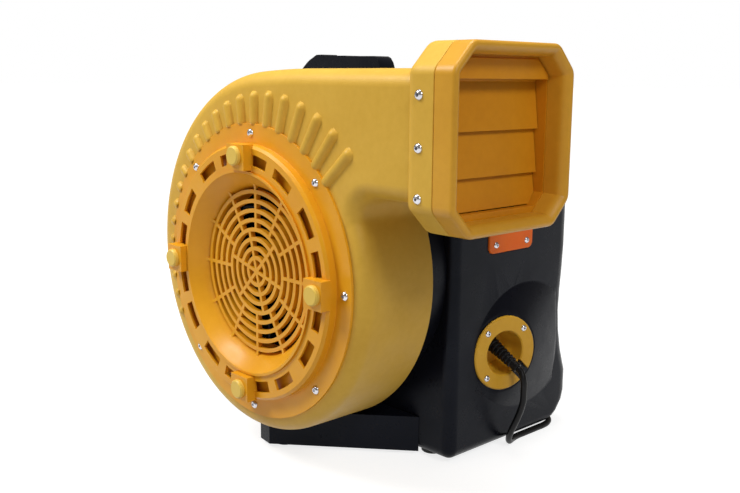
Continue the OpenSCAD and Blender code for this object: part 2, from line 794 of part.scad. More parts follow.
module hub_nut() {
    nut_r = 13;
    nut_h = 9;
    hub_front = plate_y1 - 34;
    color(steel) place() turned_y(hub_front - nut_h) difference() {
        cylinder(h = nut_h, r = nut_r, $fn = 6);
        translate([0, 0, -over]) cylinder(h = nut_h + 2 * over, r = shaft_r + run_clear);
    }
}
module stator_can() {
    fin_t = 2;
    color(casting) place() turned_y(stator_y) difference() {
        union() {
            cylinder(h = stator_len, r = motor_r);
            for (i = [0:fins - 1]) rotate([0, 0, 360 * i / fins])
                translate([motor_r - fin_t, -fin_t / 2, 0])
                cube([fin_t + fin_h, fin_t, stator_len]);
        }
        translate([0, 0, -over])
            cylinder(h = stator_len + 2 * over, r = motor_r - motor_wall);
    }
}
bell_t = 6;
module end_bell(bearing_at) {
    difference() {
        cylinder(h = bell_len, r = motor_r);
        translate([0, 0, -over]) cylinder(h = bell_len + 2 * over, r = bearing_r + run_clear);
        difference() {
            translate([0, 0, bell_t]) cylinder(h = bell_len, r = motor_r - bell_t);
            cylinder(h = bell_len + over, r = bearing_r + bell_t);
        }
    }
}
module front_end_bell() {
    color(casting) place() difference() {
        turned_y(motor_y) end_bell();
        motor_screw_places() turned_y(motor_y - over)
            cylinder(h = bell_len, r = shank_r + hole_clear);
    }
}
module rear_end_bell() {
    color(casting) place() translate([0, rear_bell_y + bell_len, 0]) rotate([90, 0, 0])
        end_bell();
}
module bearing() {
    difference() {
        cylinder(h = bearing_w, r = bearing_r);
        translate([0, 0, -over]) cylinder(h = bearing_w + 2 * over, r = shaft_r + run_clear);
    }
}
module front_bearing() {
    color(steel) place() turned_y(motor_y + (bell_len - bearing_w) / 2) bearing();
}
module rear_bearing() {
    color(steel) place() turned_y(rear_bell_y + (bell_len - bearing_w) / 2) bearing();
}
module motor_screws() {
    color(steel) place() motor_screw_places() translate([0, scroll_depth - scroll_wall, 0])
        rotate([90, 0, 0]) housing_screw();
}
module cooling_fan() {
    blade_n = 7;
    fan_hub_r = 16;
    color(black) place() turned_y(fan_y) linear_extrude(fan_w) difference() {
        union() {
            circle(r = fan_hub_r);
            for (i = [0:blade_n - 1]) rotate(360 * i / blade_n)
                translate([fan_hub_r - blade_t, -blade_t / 2])
                square([fan_r - fan_hub_r + blade_t, blade_t]);
        }
        circle(r = shaft_r + run_clear);
    }
}
cowl_t = 2;
cowl_gap = 6;
module fan_cowl() {
    cowl_len = fan_w + bell_len / 2 + cowl_gap;
    slot_n = 12;
    slot_w = 8;
    cowl_r = motor_r + seat;
    cowl_y = rear_bell_y + bell_len / 2;
    color(black) place() turned_y(cowl_y) difference() {
        cylinder(h = cowl_len + cowl_t, r = cowl_r + cowl_t);
        translate([0, 0, -over]) cylinder(h = cowl_len + over, r = cowl_r);
        for (i = [0:slot_n - 1]) rotate([0, 0, 360 * i / slot_n])
            translate([fan_r / 3, -slot_w / 2, cowl_len - over])
            cube([fan_r * 2 / 3, slot_w, cowl_t + 2 * over]);
    }
}
capacitor_x = motor_r + fin_h + capacitor_r + cowl_gap;
module capacitor() {
    cap_z = motor_r;
    stud_r = 4;
    stud_len = 8;
    color(casting) place() translate([capacitor_x, 0, cap_z]) {
        turned_y(scroll_depth) cylinder(h = capacitor_len, r = capacitor_r);
        turned_y(scroll_depth + capacitor_len - seat) cylinder(h = stud_len, r = stud_r);
    }
}
block_size = [34, bell_len - 1, 60];
block_gap = 20.5;
block_at = [cover_wall + block_gap - cover_w / 2, scroll_depth, -block_size[2] / 2];
module terminal_block() {
    way_n = 4;
    way_r = 5;
    color(black) place() difference() {
        translate(block_at) cube(block_size);
        for (i = [0:way_n - 1]) translate(block_at + [block_size[0] / 2, block_size[1] / 2,
            block_size[2] * (i + 0.5) / way_n]) rotate([-90, 0, 0])
            cylinder(h = block_size[1], r = way_r);
    }
}

// Motor cover: level outlines with a waved back
cover_wave_shares = [[0, 1.5], [0.03, 0.75], [0.06, 0.2], [0.09, 0], [0.155, 0], [0.225, 0.55],
    [0.29, 0.86], [0.354, 1], [0.42, 0.93], [0.48, 0.8], [0.554, 0.7], [0.8, 0.68], [1, 0.68]];
cover_corner_steps = 5;
function cover_back_at(s) = cover_back - cover_wave * lookup(s, cover_wave_shares);
// One level of the cover, drawn in by d
function cover_ring(z, d) =
    let (back = cover_back_at((z + cover_low) / cover_h) - d, front = cover_front + d,
        side = cover_w / 2 - d, r = cover_r - d, f = cover_edge_r - d,
        corners = [[side - r, back - r, r, 0], [r - side, back - r, r, 90],
            [f - side, front + f, f, 180], [side - f, front + f, f, 270]])
    [for (c = corners) for (j = [0:cover_corner_steps])
        let (a = c[3] + 90 * j / cover_corner_steps)
        [c[0] + c[2] * cos(a), c[1] + c[2] * sin(a), z]];
function cover_levels(d) =
    let (r = cover_edge_r - d, edge = [for (j = [0:edge_steps]) let (a = 90 * j / edge_steps)
        [r * (1 - cos(a)), r * (1 - sin(a))]], n = len(cover_wave_shares))
    concat([for (e = edge) [d - cover_low + e[0], d + e[1]]],
        [for (i = [2:n - 2]) [-cover_low + cover_wave_shares[i][0] * cover_h, d]],
        [for (e = reversed(edge)) [cover_top - d - e[0], d + e[1]]]);
module cover_loft(d) {
    levels = cover_levels(d);
    rings = [for (l = levels) cover_ring(l[0], l[1])];
    n = len(rings[0]);
    k = len(rings);
    sides = [for (j = [0:k - 2]) for (i = [0:n - 1]) let (a = j * n + i, b = j * n + (i + 1) % n)
        each [[a, a + n, b + n], [a, b + n, b]]];
    polyhedron([for (g = rings) each g], concat([[for (i = [0:n - 1]) i]], sides,
        [[for (i = [n - 1:-1:0]) (k - 1) * n + i]]));
}
// Frame of the cord cup: its mouth's middle, its axis turned towards the inlet side
cup_reach = cup_r * sin(cup_tilt) + cup_flange_t / 2;
cup_y = cover_front + 85;
cup_drop = 105;
cup_at = [cover_w / 2 + cup_reach, cup_y, -cup_drop];
module cup_place() {
    translate(cup_at) rotate([0, 0, -cup_tilt]) rotate([0, 90, 0]) children();
}
cup_seat = cup_flange_t + seat;
boss_top_r = cup_r + cup_flange_t;
boss_h = 2 * cup_reach + cup_seat;
module cup_boss() {
    intersection() {
        cup_place() translate([0, 0, -cup_seat - boss_h])
            cylinder(h = boss_h, r1 = boss_foot_r, r2 = boss_top_r);
        slab([cover_w / 2 - cover_wall, cover_front + cover_r, -cover_low + cover_edge_r],
            [cover_w, cover_back - cover_r - cover_wave, plate_low - over]);
    }
}
module plate_outline(grow) {
    corners = [for (sy = [-1, 1]) for (sz = [-1, 1])
        [sy * (plate_len / 2 - plate_r), sz * (plate_h / 2 - plate_r)]];
    translate([plate_y, plate_low + plate_h / 2]) {
        square([plate_len - 2 * plate_r, plate_h + 2 * grow], center = true);
        square([plate_len + 2 * grow, plate_h - 2 * plate_r], center = true);
        for (c = corners) translate(c) circle(r = plate_r + grow);
    }
}
plate_screw_in = 12;
module plate_screw_places() {
    for (sy = [-1, 1]) for (sz = [-1, 1])
        translate([cover_w / 2 - plate_sink + plate_t, plate_y + sy * (plate_len / 2 - plate_screw_in),
            plate_low + plate_h / 2 + sz * (plate_h / 2 - plate_screw_in + over)])
            rotate([0, 90, 0]) children();
}
// Places of the feet: four under the cover and one under the cradle's nose
foot_in = 2 * cover_r;
foot_spots = [[cover_w / 2 - foot_in, cover_front + foot_in / 2],
    [cover_w / 2 - foot_in, cover_back - cover_wave - foot_in]];
module foot_places() {
    for (f = foot_spots) for (s = [-1, 1]) translate([s * f[0], f[1], -cover_low]) children();
    translate([cradle_w * nose_share, cradle_front + 2 * foot_r, -cover_low]) children();
}
notch_angle = 45;
cup_angles = [135, 225, 315];
module cup_screw_places() {
    cup_place() for (a = cup_angles) rotate([0, 0, a]) translate([cup_screw_r, 0, 0]) children();
}
module motor_cover() {
    vent_pitch = 2 * vent_h;
    color(black) place() difference() {
        union() {
            difference() {
                cover_loft(0);
                cover_loft(cover_wall);
            }
            cup_boss();
        }
        along_y(cover_front - over, scroll_depth + seat) polygon(inset(rear_line, -seat));
        cup_place() translate([0, 0, -cup_depth - boss_h])
            cylinder(h = cup_depth + 2 * boss_h, r = cup_mouth_r + cup_wall + seat);
        cup_place() translate([0, 0, -cup_seat]) cylinder(h = cup_r, r = cup_r + seat);
        cup_screw_places() translate([0, 0, -small_shank_len - over])
            cylinder(h = small_shank_len + cup_r, r = small_shank_r + hole_clear);
        along_x(cover_w / 2 - plate_sink, cover_w / 2 + over) plate_outline(plate_gap);
        plate_screw_places() translate([0, 0, -small_shank_len])
            cylinder(h = small_shank_len, r = small_shank_r + hole_clear);
        for (i = [0:vents - 1]) translate([-vent_w / 2, cover_back - 3 * cover_r,
            vent_pitch * (i - (vents - 1) / 2)]) cube([vent_w, 3 * cover_r + over, vent_h]);
        post_places(post_back) translate([0, -2 * cover_wall, 0]) rotate([-90, 0, 0])
            cylinder(h = 3 * cover_wall, r = shank_r + hole_clear);
    }
}
// Posts to the cover's back wall: the low ones from its front wall, the high ones from the scroll
post_back = [for (f = post_feet) cover_back_at(f[1])];
module cover_posts() {
    color(steel) place() for (i = [0, 1]) for (s = [-1, 1])
        let (len = post_back[i] - cover_wall - seat - post_feet[i][2])
        translate([s * post_feet[i][0], 0, post_feet[i][1] * cover_h - cover_low])
        turned_y(post_feet[i][2]) difference() {
            cylinder(h = len, r = cover_post_r);
            translate([0, 0, len - shank_len - over])
                cylinder(h = shank_len + 2 * over, r = shank_r + hole_clear);
        }
}
module cover_screws() {
    color(steel) place() post_places(post_back) rotate([-90, 0, 0]) housing_screw();
}
// Cradle under the scroll: its plan in shares of its width and of its depth
cradle_x_shares = [-0.18, -0.085, 0.5, -0.5];
cradle_y_shares = [0.03, 0, 1, 1];
nose_share = -0.1;
module base_cradle() {
    depth = cover_front - seat - cradle_front;
    color(black) place() difference() {
        translate([0, 0, -cover_low]) linear_extrude(cover_low - scroll_r + over) polygon(
            [for (i = [0:3]) [cradle_w * cradle_x_shares[i],
                cradle_front + depth * cradle_y_shares[i]]]);
        along_y(0, front_depth + seat) polygon(inset(front_line, -seat));
        along_y(0, cover_front + over) polygon(inset(rear_line, -seat));
    }
}
module rubber_feet() {
    foot_chamfer = 1;
    color(rubber) place() foot_places() translate([0, 0, -foot_h]) rotate_extrude()
        polygon([[0, 0], [foot_r - foot_chamfer, 0], [foot_r, foot_chamfer], [foot_r, foot_h],
        [0, foot_h]]);
}

// Carry handle: arch outline in shares of its length and of its height
handle_foot_z = rear_high + seat;
handle_rise = handle_top - handle_foot_z;
arch_x_shares = [-0.5, -0.488, -0.42, -0.384, -0.293, -0.22, -0.2, 0.073, 0.104, 0.207, 0.42,
    0.451, 0.48, 0.497, 0.5];
arch_z_shares = [0, 0.19, 0.55, 0.7, 0.98, 0.99, 0.92, 0.91, 0.85, 0.875, 0.86, 0.77, 0.53, 0.23,
    0];
// Handle screws go out through the rear half's wall at two points of its outline
handle_marks = [fillet_steps + 57, fillet_steps + spiral_steps + 4];
module handle_screw_places() {
    for (i = handle_marks) let (q = rear_line[i], n = normal(rear_line, i))
        translate([q[0] + (scroll_wall + seat) * n[0], handle_y, q[1] + (scroll_wall + seat) * n[1]])
        rotate([0, atan2(n[0], n[1]), 0]) children();
}
module handle_holes() {
    handle_screw_places() translate([0, 0, -small_shank_len - over])
        cylinder(h = small_shank_len + 2 * over, r = small_shank_r + hole_clear);
}
module carry_handle() {
    foot_drop = 2 * grip_h;
    left = handle_mid - handle_len / 2;
    arch = concat([[left, handle_foot_z - foot_drop]], [for (i = [0:len(arch_x_shares) - 1])
        [handle_mid + handle_len * arch_x_shares[i],
            handle_foot_z + handle_rise * arch_z_shares[i]]],
        [[left + handle_len, handle_foot_z - foot_drop]]);
    color(black) place() difference() {
        along_y(handle_y - handle_t / 2, handle_y + handle_t / 2) polygon(arch);
        slab([handle_mid - gap_len / 2, handle_y - handle_t, handle_foot_z - foot_drop - over],
            [handle_mid + gap_len / 2, handle_y + handle_t, handle_top - grip_h]);
        along_y(handle_y - handle_t, handle_y + handle_t) polygon(inset(rear_line, -seat));
        handle_holes();
    }
}
module handle_screws() {
    color(steel) place() handle_screw_places() small_screw();
}

module side_plate() {
    color(orange) place() difference() {
        along_x(cover_w / 2 - plate_sink, cover_w / 2 - plate_sink + plate_t) plate_outline(0);
        plate_screw_places() translate([0, 0, -plate_t - over])
            cylinder(h = plate_t + 2 * over, r = small_shank_r + hole_clear);
    }
}
module plate_screws() {
    color(steel) place() plate_screw_places() small_screw();
}

// Route of the relief and the cord in standing places, from the middle of the cup's mouth
cup_stand = fan_at + cup_at;
relief_in = [-31, 4, 9];
relief_out = [15, 6, -17];
relief_from = cup_stand + relief_in;
relief_to = cup_stand + relief_out;
relief_len = norm(relief_to - relief_from);
relief_dir = (relief_to - relief_from) / relief_len;
module relief_place() {
    translate(relief_from)
        rotate([0, acos(relief_dir[2]), atan2(relief_dir[1], relief_dir[0])]) children();
}
relief_r = 9.5;
relief_tip_r = cord_d / 2 + 2;
module cord_cup() {
    flange_edge = 1.5;
    bowl_r = cup_mouth_r;
    color(pad_yellow) difference() {
        place() cup_place() difference() {
            rotate_extrude() polygon([[bowl_r * 0.8, -cup_depth - cup_wall],
                [bowl_r + cup_wall, -cup_depth / 2], [bowl_r + cup_wall, -cup_flange_t],
                [cup_r, -cup_flange_t], [cup_r, -flange_edge], [cup_r - flange_edge, 0],
                [bowl_r + flange_edge, 0], [bowl_r, -flange_edge], [bowl_r, -cup_depth / 2],
                [bowl_r * 0.8 - cup_wall / 2, -cup_depth], [0, -cup_depth],
                [0, -cup_depth - cup_wall]]);
            for (a = cup_angles) rotate([0, 0, a]) translate([cup_screw_r, 0, -cup_depth])
                cylinder(h = 2 * cup_depth, r = small_shank_r + hole_clear);
            rotate([0, 0, notch_angle]) translate([cup_mouth_r / 2, -notch_w / 2, -cup_flange_t - over])
                cube([cup_r, notch_w, cup_flange_t + 2 * over]);
        }
        relief_place() translate([0, 0, -cup_depth])
            cylinder(h = cup_depth + cup_mouth_r, r = relief_r + seat);
    }
}
module cup_screws() {
    color(steel) place() cup_screw_places() small_screw();
}
// Ribbed, tapering strain relief
relief_ribs = 8;
relief_back = 14;
module strain_relief() {
    rib_step = relief_len * 0.8 / relief_ribs;
    function taper(s) = relief_r + (relief_tip_r - relief_r) * s;
    ribs = [for (i = [0:relief_ribs - 1]) let (z = rib_step * (i + 0.6), s = z / relief_len)
        each [[taper(s), z], [taper(s), z + rib_step * 0.55], [taper(s) - 1.4, z + rib_step * 0.6],
            [taper(s) - 1.4, z + rib_step * 0.95]]];
    color(rubber) relief_place() rotate_extrude() polygon(concat(
        [[0, -relief_back], [relief_r - 1, -relief_back], [relief_r - 1, 0], [relief_r, 0]],
        ribs, [[relief_tip_r, rib_step * (relief_ribs + 0.6)], [relief_tip_r, relief_len],
        [0, relief_len]]));
}
// Tube along a route: rings of n sides, each turned with the one before
function tangent(p, i) = unit(p[min(i + 1, len(p) - 1)] - p[max(i - 1, 0)]);
function carried(p, i, u) = let (t = tangent(p, i)) unit(u - (u * t) * t);
function sides_of(p, u0, i = 0, found = []) = i == len(p) ? found :
    let (u = carried(p, i, i == 0 ? u0 : found[i - 1])) sides_of(p, u0, i + 1, concat(found, [u]));
module tube(p, r, n, up = [0, 0, 1]) {
    us = sides_of(p, abs(tangent(p, 0) * up) > 0.9 ? [1, 0, 0] : up);
    k = len(p);
    points = [for (i = [0:k - 1]) let (t = tangent(p, i), u = us[i], v = cross(t, u))
        for (j = [0:n - 1]) let (a = 360 * (j + 0.5) / n) p[i] + r * (cos(a) * u + sin(a) * v)];
    sides = [for (i = [0:k - 2]) for (j = [0:n - 1])
        let (a = i * n + j, b = i * n + (j + 1) % n) each [[a, a + n, b + n], [a, b + n, b]]];
    polyhedron(points, concat([[for (j = [0:n - 1]) j]], sides,
        [[for (j = [n - 1:-1:0]) (k - 1) * n + j]]));
}
cord_sides = 10;
module cord_run() {
    color(rubber) tube(run_points, cord_d / 2, cord_sides, relief_dir);
}
module cord_tail() {
    color(rubber) tube(tail_points, cord_d / 2, cord_sides);
}
module supply_lead() {
    color(rubber) tube(lead_points, cord_d / 2, cord_sides);
}
// Coil: layers spiral in and out, climbing in the half turn where they reverse
coil_back_gap = 23;
coil_side_share = -0.103;
coil_at = [coil_side_share * cover_w, cover_back + fan_at[1] + coil_back_gap + coil_r, cord_d / 2];
coil_turns = layer_turns * coil_layers;
turn_rings = 24;
coil_sides = 6;
climb_turn = 0.5;
function smooth(t) = let (s = max(0, min(1, t))) s * s * (3 - 2 * s);
function wind_in(u) = let (w = u % (2 * layer_turns)) w < layer_turns ? w : 2 * layer_turns - w;
function climb(u, k = 1) = k >= coil_layers ? 0 :
    smooth((u - k * layer_turns + climb_turn / 2) / climb_turn) + climb(u, k + 1);
function coil_point(u) = let (r = coil_r - coil_pitch * wind_in(u), a = -90 - 360 * u)
    coil_at + [r * cos(a), r * sin(a), coil_pitch * climb(u)];
coil_wound = [for (i = [0:turn_rings * coil_turns]) coil_point(i / turn_rings)];
coil_path = concat([coil_wound[0] + [cord_d, 0, 0]], coil_wound,
    [coil_wound[len(coil_wound) - 1] - [cord_d, 0, 0]]);
// Least gap of the coil to itself, measured on its rings
coil_gap = min([for (i = [0:len(coil_wound) - 1]) for (j = [i + turn_rings / 2:1:len(coil_wound) - 1])
    norm(coil_wound[i] - coil_wound[j])]) - cord_d;
echo(coil_gap = coil_gap);
// Free stretches of the cord, and the lead inside the cover: routes drawn between two ends,
// then fitted to where those ends stand
function fitted(p, a, b, to_a, to_b) = [for (i = [0:2])
    to_a[i] + (p[i] - a[i]) * (to_b[i] - to_a[i]) / (b[i] - a[i])];
run_route = [[151, 61, 106], [155, 60, 100], [157, 60, 92], [157, 60, 82], [156, 61, 71],
    [153, 61, 59], [148, 61, 46], [142, 62, 34], [136, 64, 23], [130, 69, 13], [125, 77, 6],
    [120, 89, 4], [118, 102, 4], [118, 116, 4], [118, 130, 4], [118, 144, 4], [118, 156, 4],
    [116, 168, 4], [110, 179, 4], [100, 187, 4], [88, 191, 4], [75, 195, 4], [62, 201, 4],
    [50, 209, 4], [38, 217, 4], [26, 224, 4], [13, 230, 4], [0, 233, 4], [-14, 234, 4]];
run_from = [146, 61, 109];
run_to = [-27, 234, 4];
run_points = concat([relief_to],
    [for (p = run_route) fitted(p, run_from, run_to, relief_to, coil_path[0])], [coil_path[0]]);
tail_route = [[-51, 234, 30], [-60, 234, 29], [-69, 234, 26], [-78, 234, 22], [-87, 234, 19],
    [-95, 234, 18], [-103, 234, 18]];
tail_from = [-43, 233, 29.8];
tail_to = [-103, 234, 18];
coil_end = coil_path[len(coil_path) - 1];
tail_points = concat([coil_end], [for (p = tail_route) fitted(p, tail_from, tail_to,
    coil_end - [0, cord_d / 8, 0], [coil_end[0] - 7.5 * cord_d, coil_end[1], plug_r])]);
lead_from = [87.8, 58.5, 141.9];
lead_to = [-179, 20, 223.5];
lead_route = [[76, 59, 148], [58, 56, 152], [30, 52, 143], [-10, 48, 133], [-50, 44, 131],
    [-95, 40, 133], [-135, 38, 151], [-163, 40, 181], [-176, 41, 204], [-179, 37, 219],
    [-179, 29, 223.5], [-179, 20, 223.5]];
lead_start = relief_from - relief_back * relief_dir;
lead_end = fan_at + block_at + [block_size[0] / 2, block_size[1] - 1, block_size[2] * 3 / 8];
lead_points = concat([lead_start],
    [for (p = lead_route) fitted(p, lead_from, lead_to, lead_start, lead_end)]);
echo(relief_to = relief_to, run_end = coil_path[0], coil_end = coil_end, lead_end = lead_end,
    plug = tail_points[len(tail_points) - 1]);
module cord_coil() {
    color(rubber) tube(coil_path, cord_d / 2, coil_sides);
}

// Moulded plug lying beside the coil
plug_from = tail_points[len(tail_points) - 1];
plug_neck = 16;
module plug_place() {
    translate(plug_from) rotate([0, -90, 0]) children();
}
module plug_body() {
    rim = 2;
    plug_lift = plug_r - plug_from[2];
    color(rubber) plug_place() rotate_extrude() polygon([[0, 0], [cord_d / 2 + rim, 0],
        [cord_d / 2 + 2 * rim, plug_neck / 2], [plug_r * 0.6, plug_neck], [plug_r - rim, plug_neck
        + rim], [plug_r + plug_lift * 0, plug_neck + 2 * rim], [plug_r, plug_neck + plug_len - rim],
        [plug_r - rim, plug_neck + plug_len], [0, plug_neck + plug_len]]);
}
module plug_pins() {
    color(steel) plug_place() for (s = [-1, 1])
        translate([0, s * plug_pin_gap / 2, plug_neck + plug_len])
        cylinder(h = plug_pin_len, r = plug_pin_r);
}

front_scroll();
rear_scroll();
inlet_ring();
inlet_grille();
ring_pads();
flange_screws();
outlet_frame();
damper_frame();
flap_top();
flap_middle();
flap_bottom();
outlet_screws();
impeller();
motor_shaft();
rotor_core();
hub_nut();
stator_can();
front_end_bell();
rear_end_bell();
front_bearing();
rear_bearing();
motor_screws();
cooling_fan();
fan_cowl();
capacitor();
terminal_block();
supply_lead();
motor_cover();
cover_posts();
cover_screws();
base_cradle();
rubber_feet();
carry_handle();
handle_screws();
side_plate();
plate_screws();
cord_cup();
cup_screws();
strain_relief();
cord_run();
cord_coil();
cord_tail();
plug_body();
plug_pins();
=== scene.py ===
import math
import bpy
import bmesh
from mathutils import Matrix, Vector


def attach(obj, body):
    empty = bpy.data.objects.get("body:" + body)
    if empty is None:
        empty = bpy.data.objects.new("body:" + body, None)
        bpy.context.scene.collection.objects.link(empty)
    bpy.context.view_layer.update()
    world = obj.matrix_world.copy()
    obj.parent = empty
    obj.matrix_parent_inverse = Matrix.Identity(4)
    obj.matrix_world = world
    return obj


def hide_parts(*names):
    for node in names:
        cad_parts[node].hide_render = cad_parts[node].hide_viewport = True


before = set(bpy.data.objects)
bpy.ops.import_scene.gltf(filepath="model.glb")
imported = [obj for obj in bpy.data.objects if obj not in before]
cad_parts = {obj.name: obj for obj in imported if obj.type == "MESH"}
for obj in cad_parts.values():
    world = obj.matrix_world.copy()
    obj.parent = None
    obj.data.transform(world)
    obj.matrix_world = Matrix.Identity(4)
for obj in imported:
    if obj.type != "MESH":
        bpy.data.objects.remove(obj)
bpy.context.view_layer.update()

scene = bpy.context.scene

# Measures are in millimetres, with the origin on the fan axis, unless a comment says otherwise
MM = 0.001
FAN = Vector((-49.786, -187.0, 231.0))      # fan axis at the flange's face, in the row frame
FACE_Y = 3                                  # front face of the scroll
PARTING_Y = 107.9                           # where the two halves of the housing meet
OUTLET_W, OUTLET_H, OUTLET_LOW = 181.5, 182.0, 74.5     # outlet frame: depth, height, lower edge
DAMPER_X = 280.0                            # face of the damper frame
PLATE_X, PLATE_Y, PLATE_Z = 172, 258, 38    # face and middle of the orange plate
COVER_X = 170                               # side of the motor cover


def at(x, y, z):
    """A point given in millimetres round the fan axis, in the row frame."""
    return (Vector((x, y, z)) + FAN) * MM


def turn(n):
    """n angles, evenly round a circle."""
    return [2 * math.pi * i / n for i in range(n)]


# Camera at the photograph's viewing angle
def camera():
    yaw, pitch, roll = 0.817919, 0.180858, 0.007583
    back = Vector((math.sin(yaw) * math.cos(pitch), -math.cos(yaw) * math.cos(pitch),
                   math.sin(pitch)))
    level = Vector((math.cos(yaw), math.sin(yaw), 0))
    upright = back.cross(level)
    right = math.cos(roll) * level + math.sin(roll) * upright
    up = -math.sin(roll) * level + math.cos(roll) * upright
    data = bpy.data.cameras.new("camera")
    cam = bpy.data.objects.new("camera", data)
    scene.collection.objects.link(cam)
    m = Matrix((right, up, back)).transposed().to_4x4()
    m.translation = Vector((0.80289, -0.80057, 0.45265))
    cam.matrix_world = m
    data.sensor_width = 36
    data.lens = 921.5 / 740 * 36            # focal length in pixels of the photo's width
    data.clip_start, data.clip_end = 0.01, 50
    scene.camera = cam


camera()
scene.view_settings.view_transform = "Standard"


# Material helpers
def nodes_of(name):
    mat = bpy.data.materials.new(name)
    mat.use_nodes = True
    tree = mat.node_tree
    tree.nodes.clear()
    out = tree.nodes.new("ShaderNodeOutputMaterial")
    bsdf = tree.nodes.new("ShaderNodeBsdfPrincipled")
    tree.links.new(bsdf.outputs[0], out.inputs[0])
    return mat, tree, bsdf


def noise(tree, scale, detail, rough):
    co = tree.nodes.new("ShaderNodeTexCoord")
    n = tree.nodes.new("ShaderNodeTexNoise")
    n.inputs["Scale"].default_value = scale
    n.inputs["Detail"].default_value = detail
    n.inputs["Roughness"].default_value = rough
    tree.links.new(co.outputs["Object"], n.inputs["Vector"])
    return n.outputs[0]


def maths(tree, operation, *values):
    """Math node, each value a number or a socket."""
    n = tree.nodes.new("ShaderNodeMath")
    n.operation = operation
    for socket, v in zip(n.inputs, values):
        if isinstance(v, (int, float)):
            socket.default_value = v
        else:
            tree.links.new(v, socket)
    return n.outputs[0]


def ramp(tree, source, low, high):
    """Colour ramp between two stops of (position, colour)."""
    r = tree.nodes.new("ShaderNodeValToRGB")
    for stop, (pos, colour) in zip(r.color_ramp.elements, (low, high)):
        stop.position = pos
        stop.color = (*colour, 1)
    tree.links.new(source, r.inputs[0])
    return r.outputs[0]


def lin(colour):
    """Linear colour of an sRGB colour from 0 to 255."""
    return [c / 255 / 12.92 if c / 255 <= 0.04045 else ((c / 255 + 0.055) / 1.055) ** 2.4
            for c in colour]


def moulded(name, light, dark, rough, grain=900, depth=0.00012, patch=9, spec=0.5,
            metallic=0.0, tint=(1, 1, 1)):
    """Moulded plastic, rubber or cast metal: patchy colour, uneven gloss and a fine grain."""
    spread, fine_share = 0.08, 0.35         # of the roughness both ways, of the fine mottle
    mat, tree, bsdf = nodes_of(name)
    broad, fine = noise(tree, patch, 4, 0.55), noise(tree, patch * 14, 3, 0.6)
    mottle = maths(tree, "MULTIPLY_ADD", fine, fine_share, broad)
    colour = ramp(tree, mottle, (0.42, lin(dark)), (0.92, lin(light)))
    tree.links.new(colour, bsdf.inputs["Base Color"])
    gloss = ramp(tree, noise(tree, patch * 5, 5, 0.6), (0.3, [rough - spread] * 3),
                 (0.75, [rough + spread] * 3))
    tree.links.new(gloss, bsdf.inputs["Roughness"])
    bump = tree.nodes.new("ShaderNodeBump")
    bump.inputs["Strength"].default_value = 0.5
    bump.inputs["Distance"].default_value = depth
    tree.links.new(noise(tree, grain, 2, 0.5), bump.inputs["Height"])
    tree.links.new(bump.outputs[0], bsdf.inputs["Normal"])
    bsdf.inputs["Specular IOR Level"].default_value = spec
    bsdf.inputs["Specular Tint"].default_value = (*tint, 1)
    bsdf.inputs["Metallic"].default_value = metallic
    return mat


# Materials: lighter and darker sRGB colour, roughness, scale and depth of the grain
BLUISH = (0.8, 0.88, 1)
YELLOW = moulded("yellow_polyethylene", (230, 186, 76), (214, 168, 60), 0.42, 1400, 0.00022,
                 spec=0.22)
FRAME = moulded("frame_yellow", (224, 166, 50), (210, 152, 40), 0.36, 1400, 0.00018, spec=0.3)
INLET = moulded("inlet_plastic", (238, 172, 34), (228, 158, 26), 0.36, 1100, 0.00008, spec=0.3)
PAD = moulded("pad_plastic", (236, 200, 92), (230, 194, 84), 0.4, 900, 0.00008, spec=0.3)
FLAP = moulded("flap_plastic", (222, 150, 30), (206, 134, 22), 0.42, 1100, 0.0001, spec=0.2)
ORANGE = moulded("plate_plastic", (255, 124, 36), (250, 108, 26), 0.4, 900, 0.00008, spec=0.2)
SHELL = moulded("black_polyethylene", (20, 21, 30), (13, 14, 20), 0.32, 1300, 0.00018,
                spec=0.11, tint=BLUISH)
BLACK = moulded("black_plastic", (22, 23, 31), (14, 15, 21), 0.26, 900, 0.0001,
                spec=0.16, tint=BLUISH)
CUP = moulded("cup_plastic", (236, 184, 58), (224, 168, 46), 0.34, 900, 0.00008, spec=0.25)
RUBBER = moulded("cord_rubber", (22, 22, 24), (14, 14, 16), 0.42, 1500, 0.0001, spec=0.2)
FOOT = moulded("foot_rubber", (30, 30, 30), (20, 20, 20), 0.7, 1200, 0.0002)
STEEL = moulded("screw_steel", (214, 214, 218), (186, 187, 194), 0.24, 2400, 0.00003,
                patch=60, metallic=1.0)
# Dark colour of the painted shade on the floors of the screws' recesses
RECESS_SHADE = moulded("recess_painted_shade", (30, 28, 28), (16, 15, 15), 0.5, patch=60, metallic=0.6)
SHAFT = moulded("shaft_steel", (190, 192, 196), (170, 172, 178), 0.3, patch=30, metallic=1.0)
LAMIN = moulded("lamination", (120, 118, 116), (92, 90, 90), 0.5, patch=30, metallic=0.8)
CAST = moulded("casting", (150, 152, 156), (128, 130, 134), 0.55, 600, 0.0004, metallic=0.4)
BRASS = moulded("pin_metal", (206, 200, 186), (184, 178, 160), 0.26, patch=60, metallic=1.0)


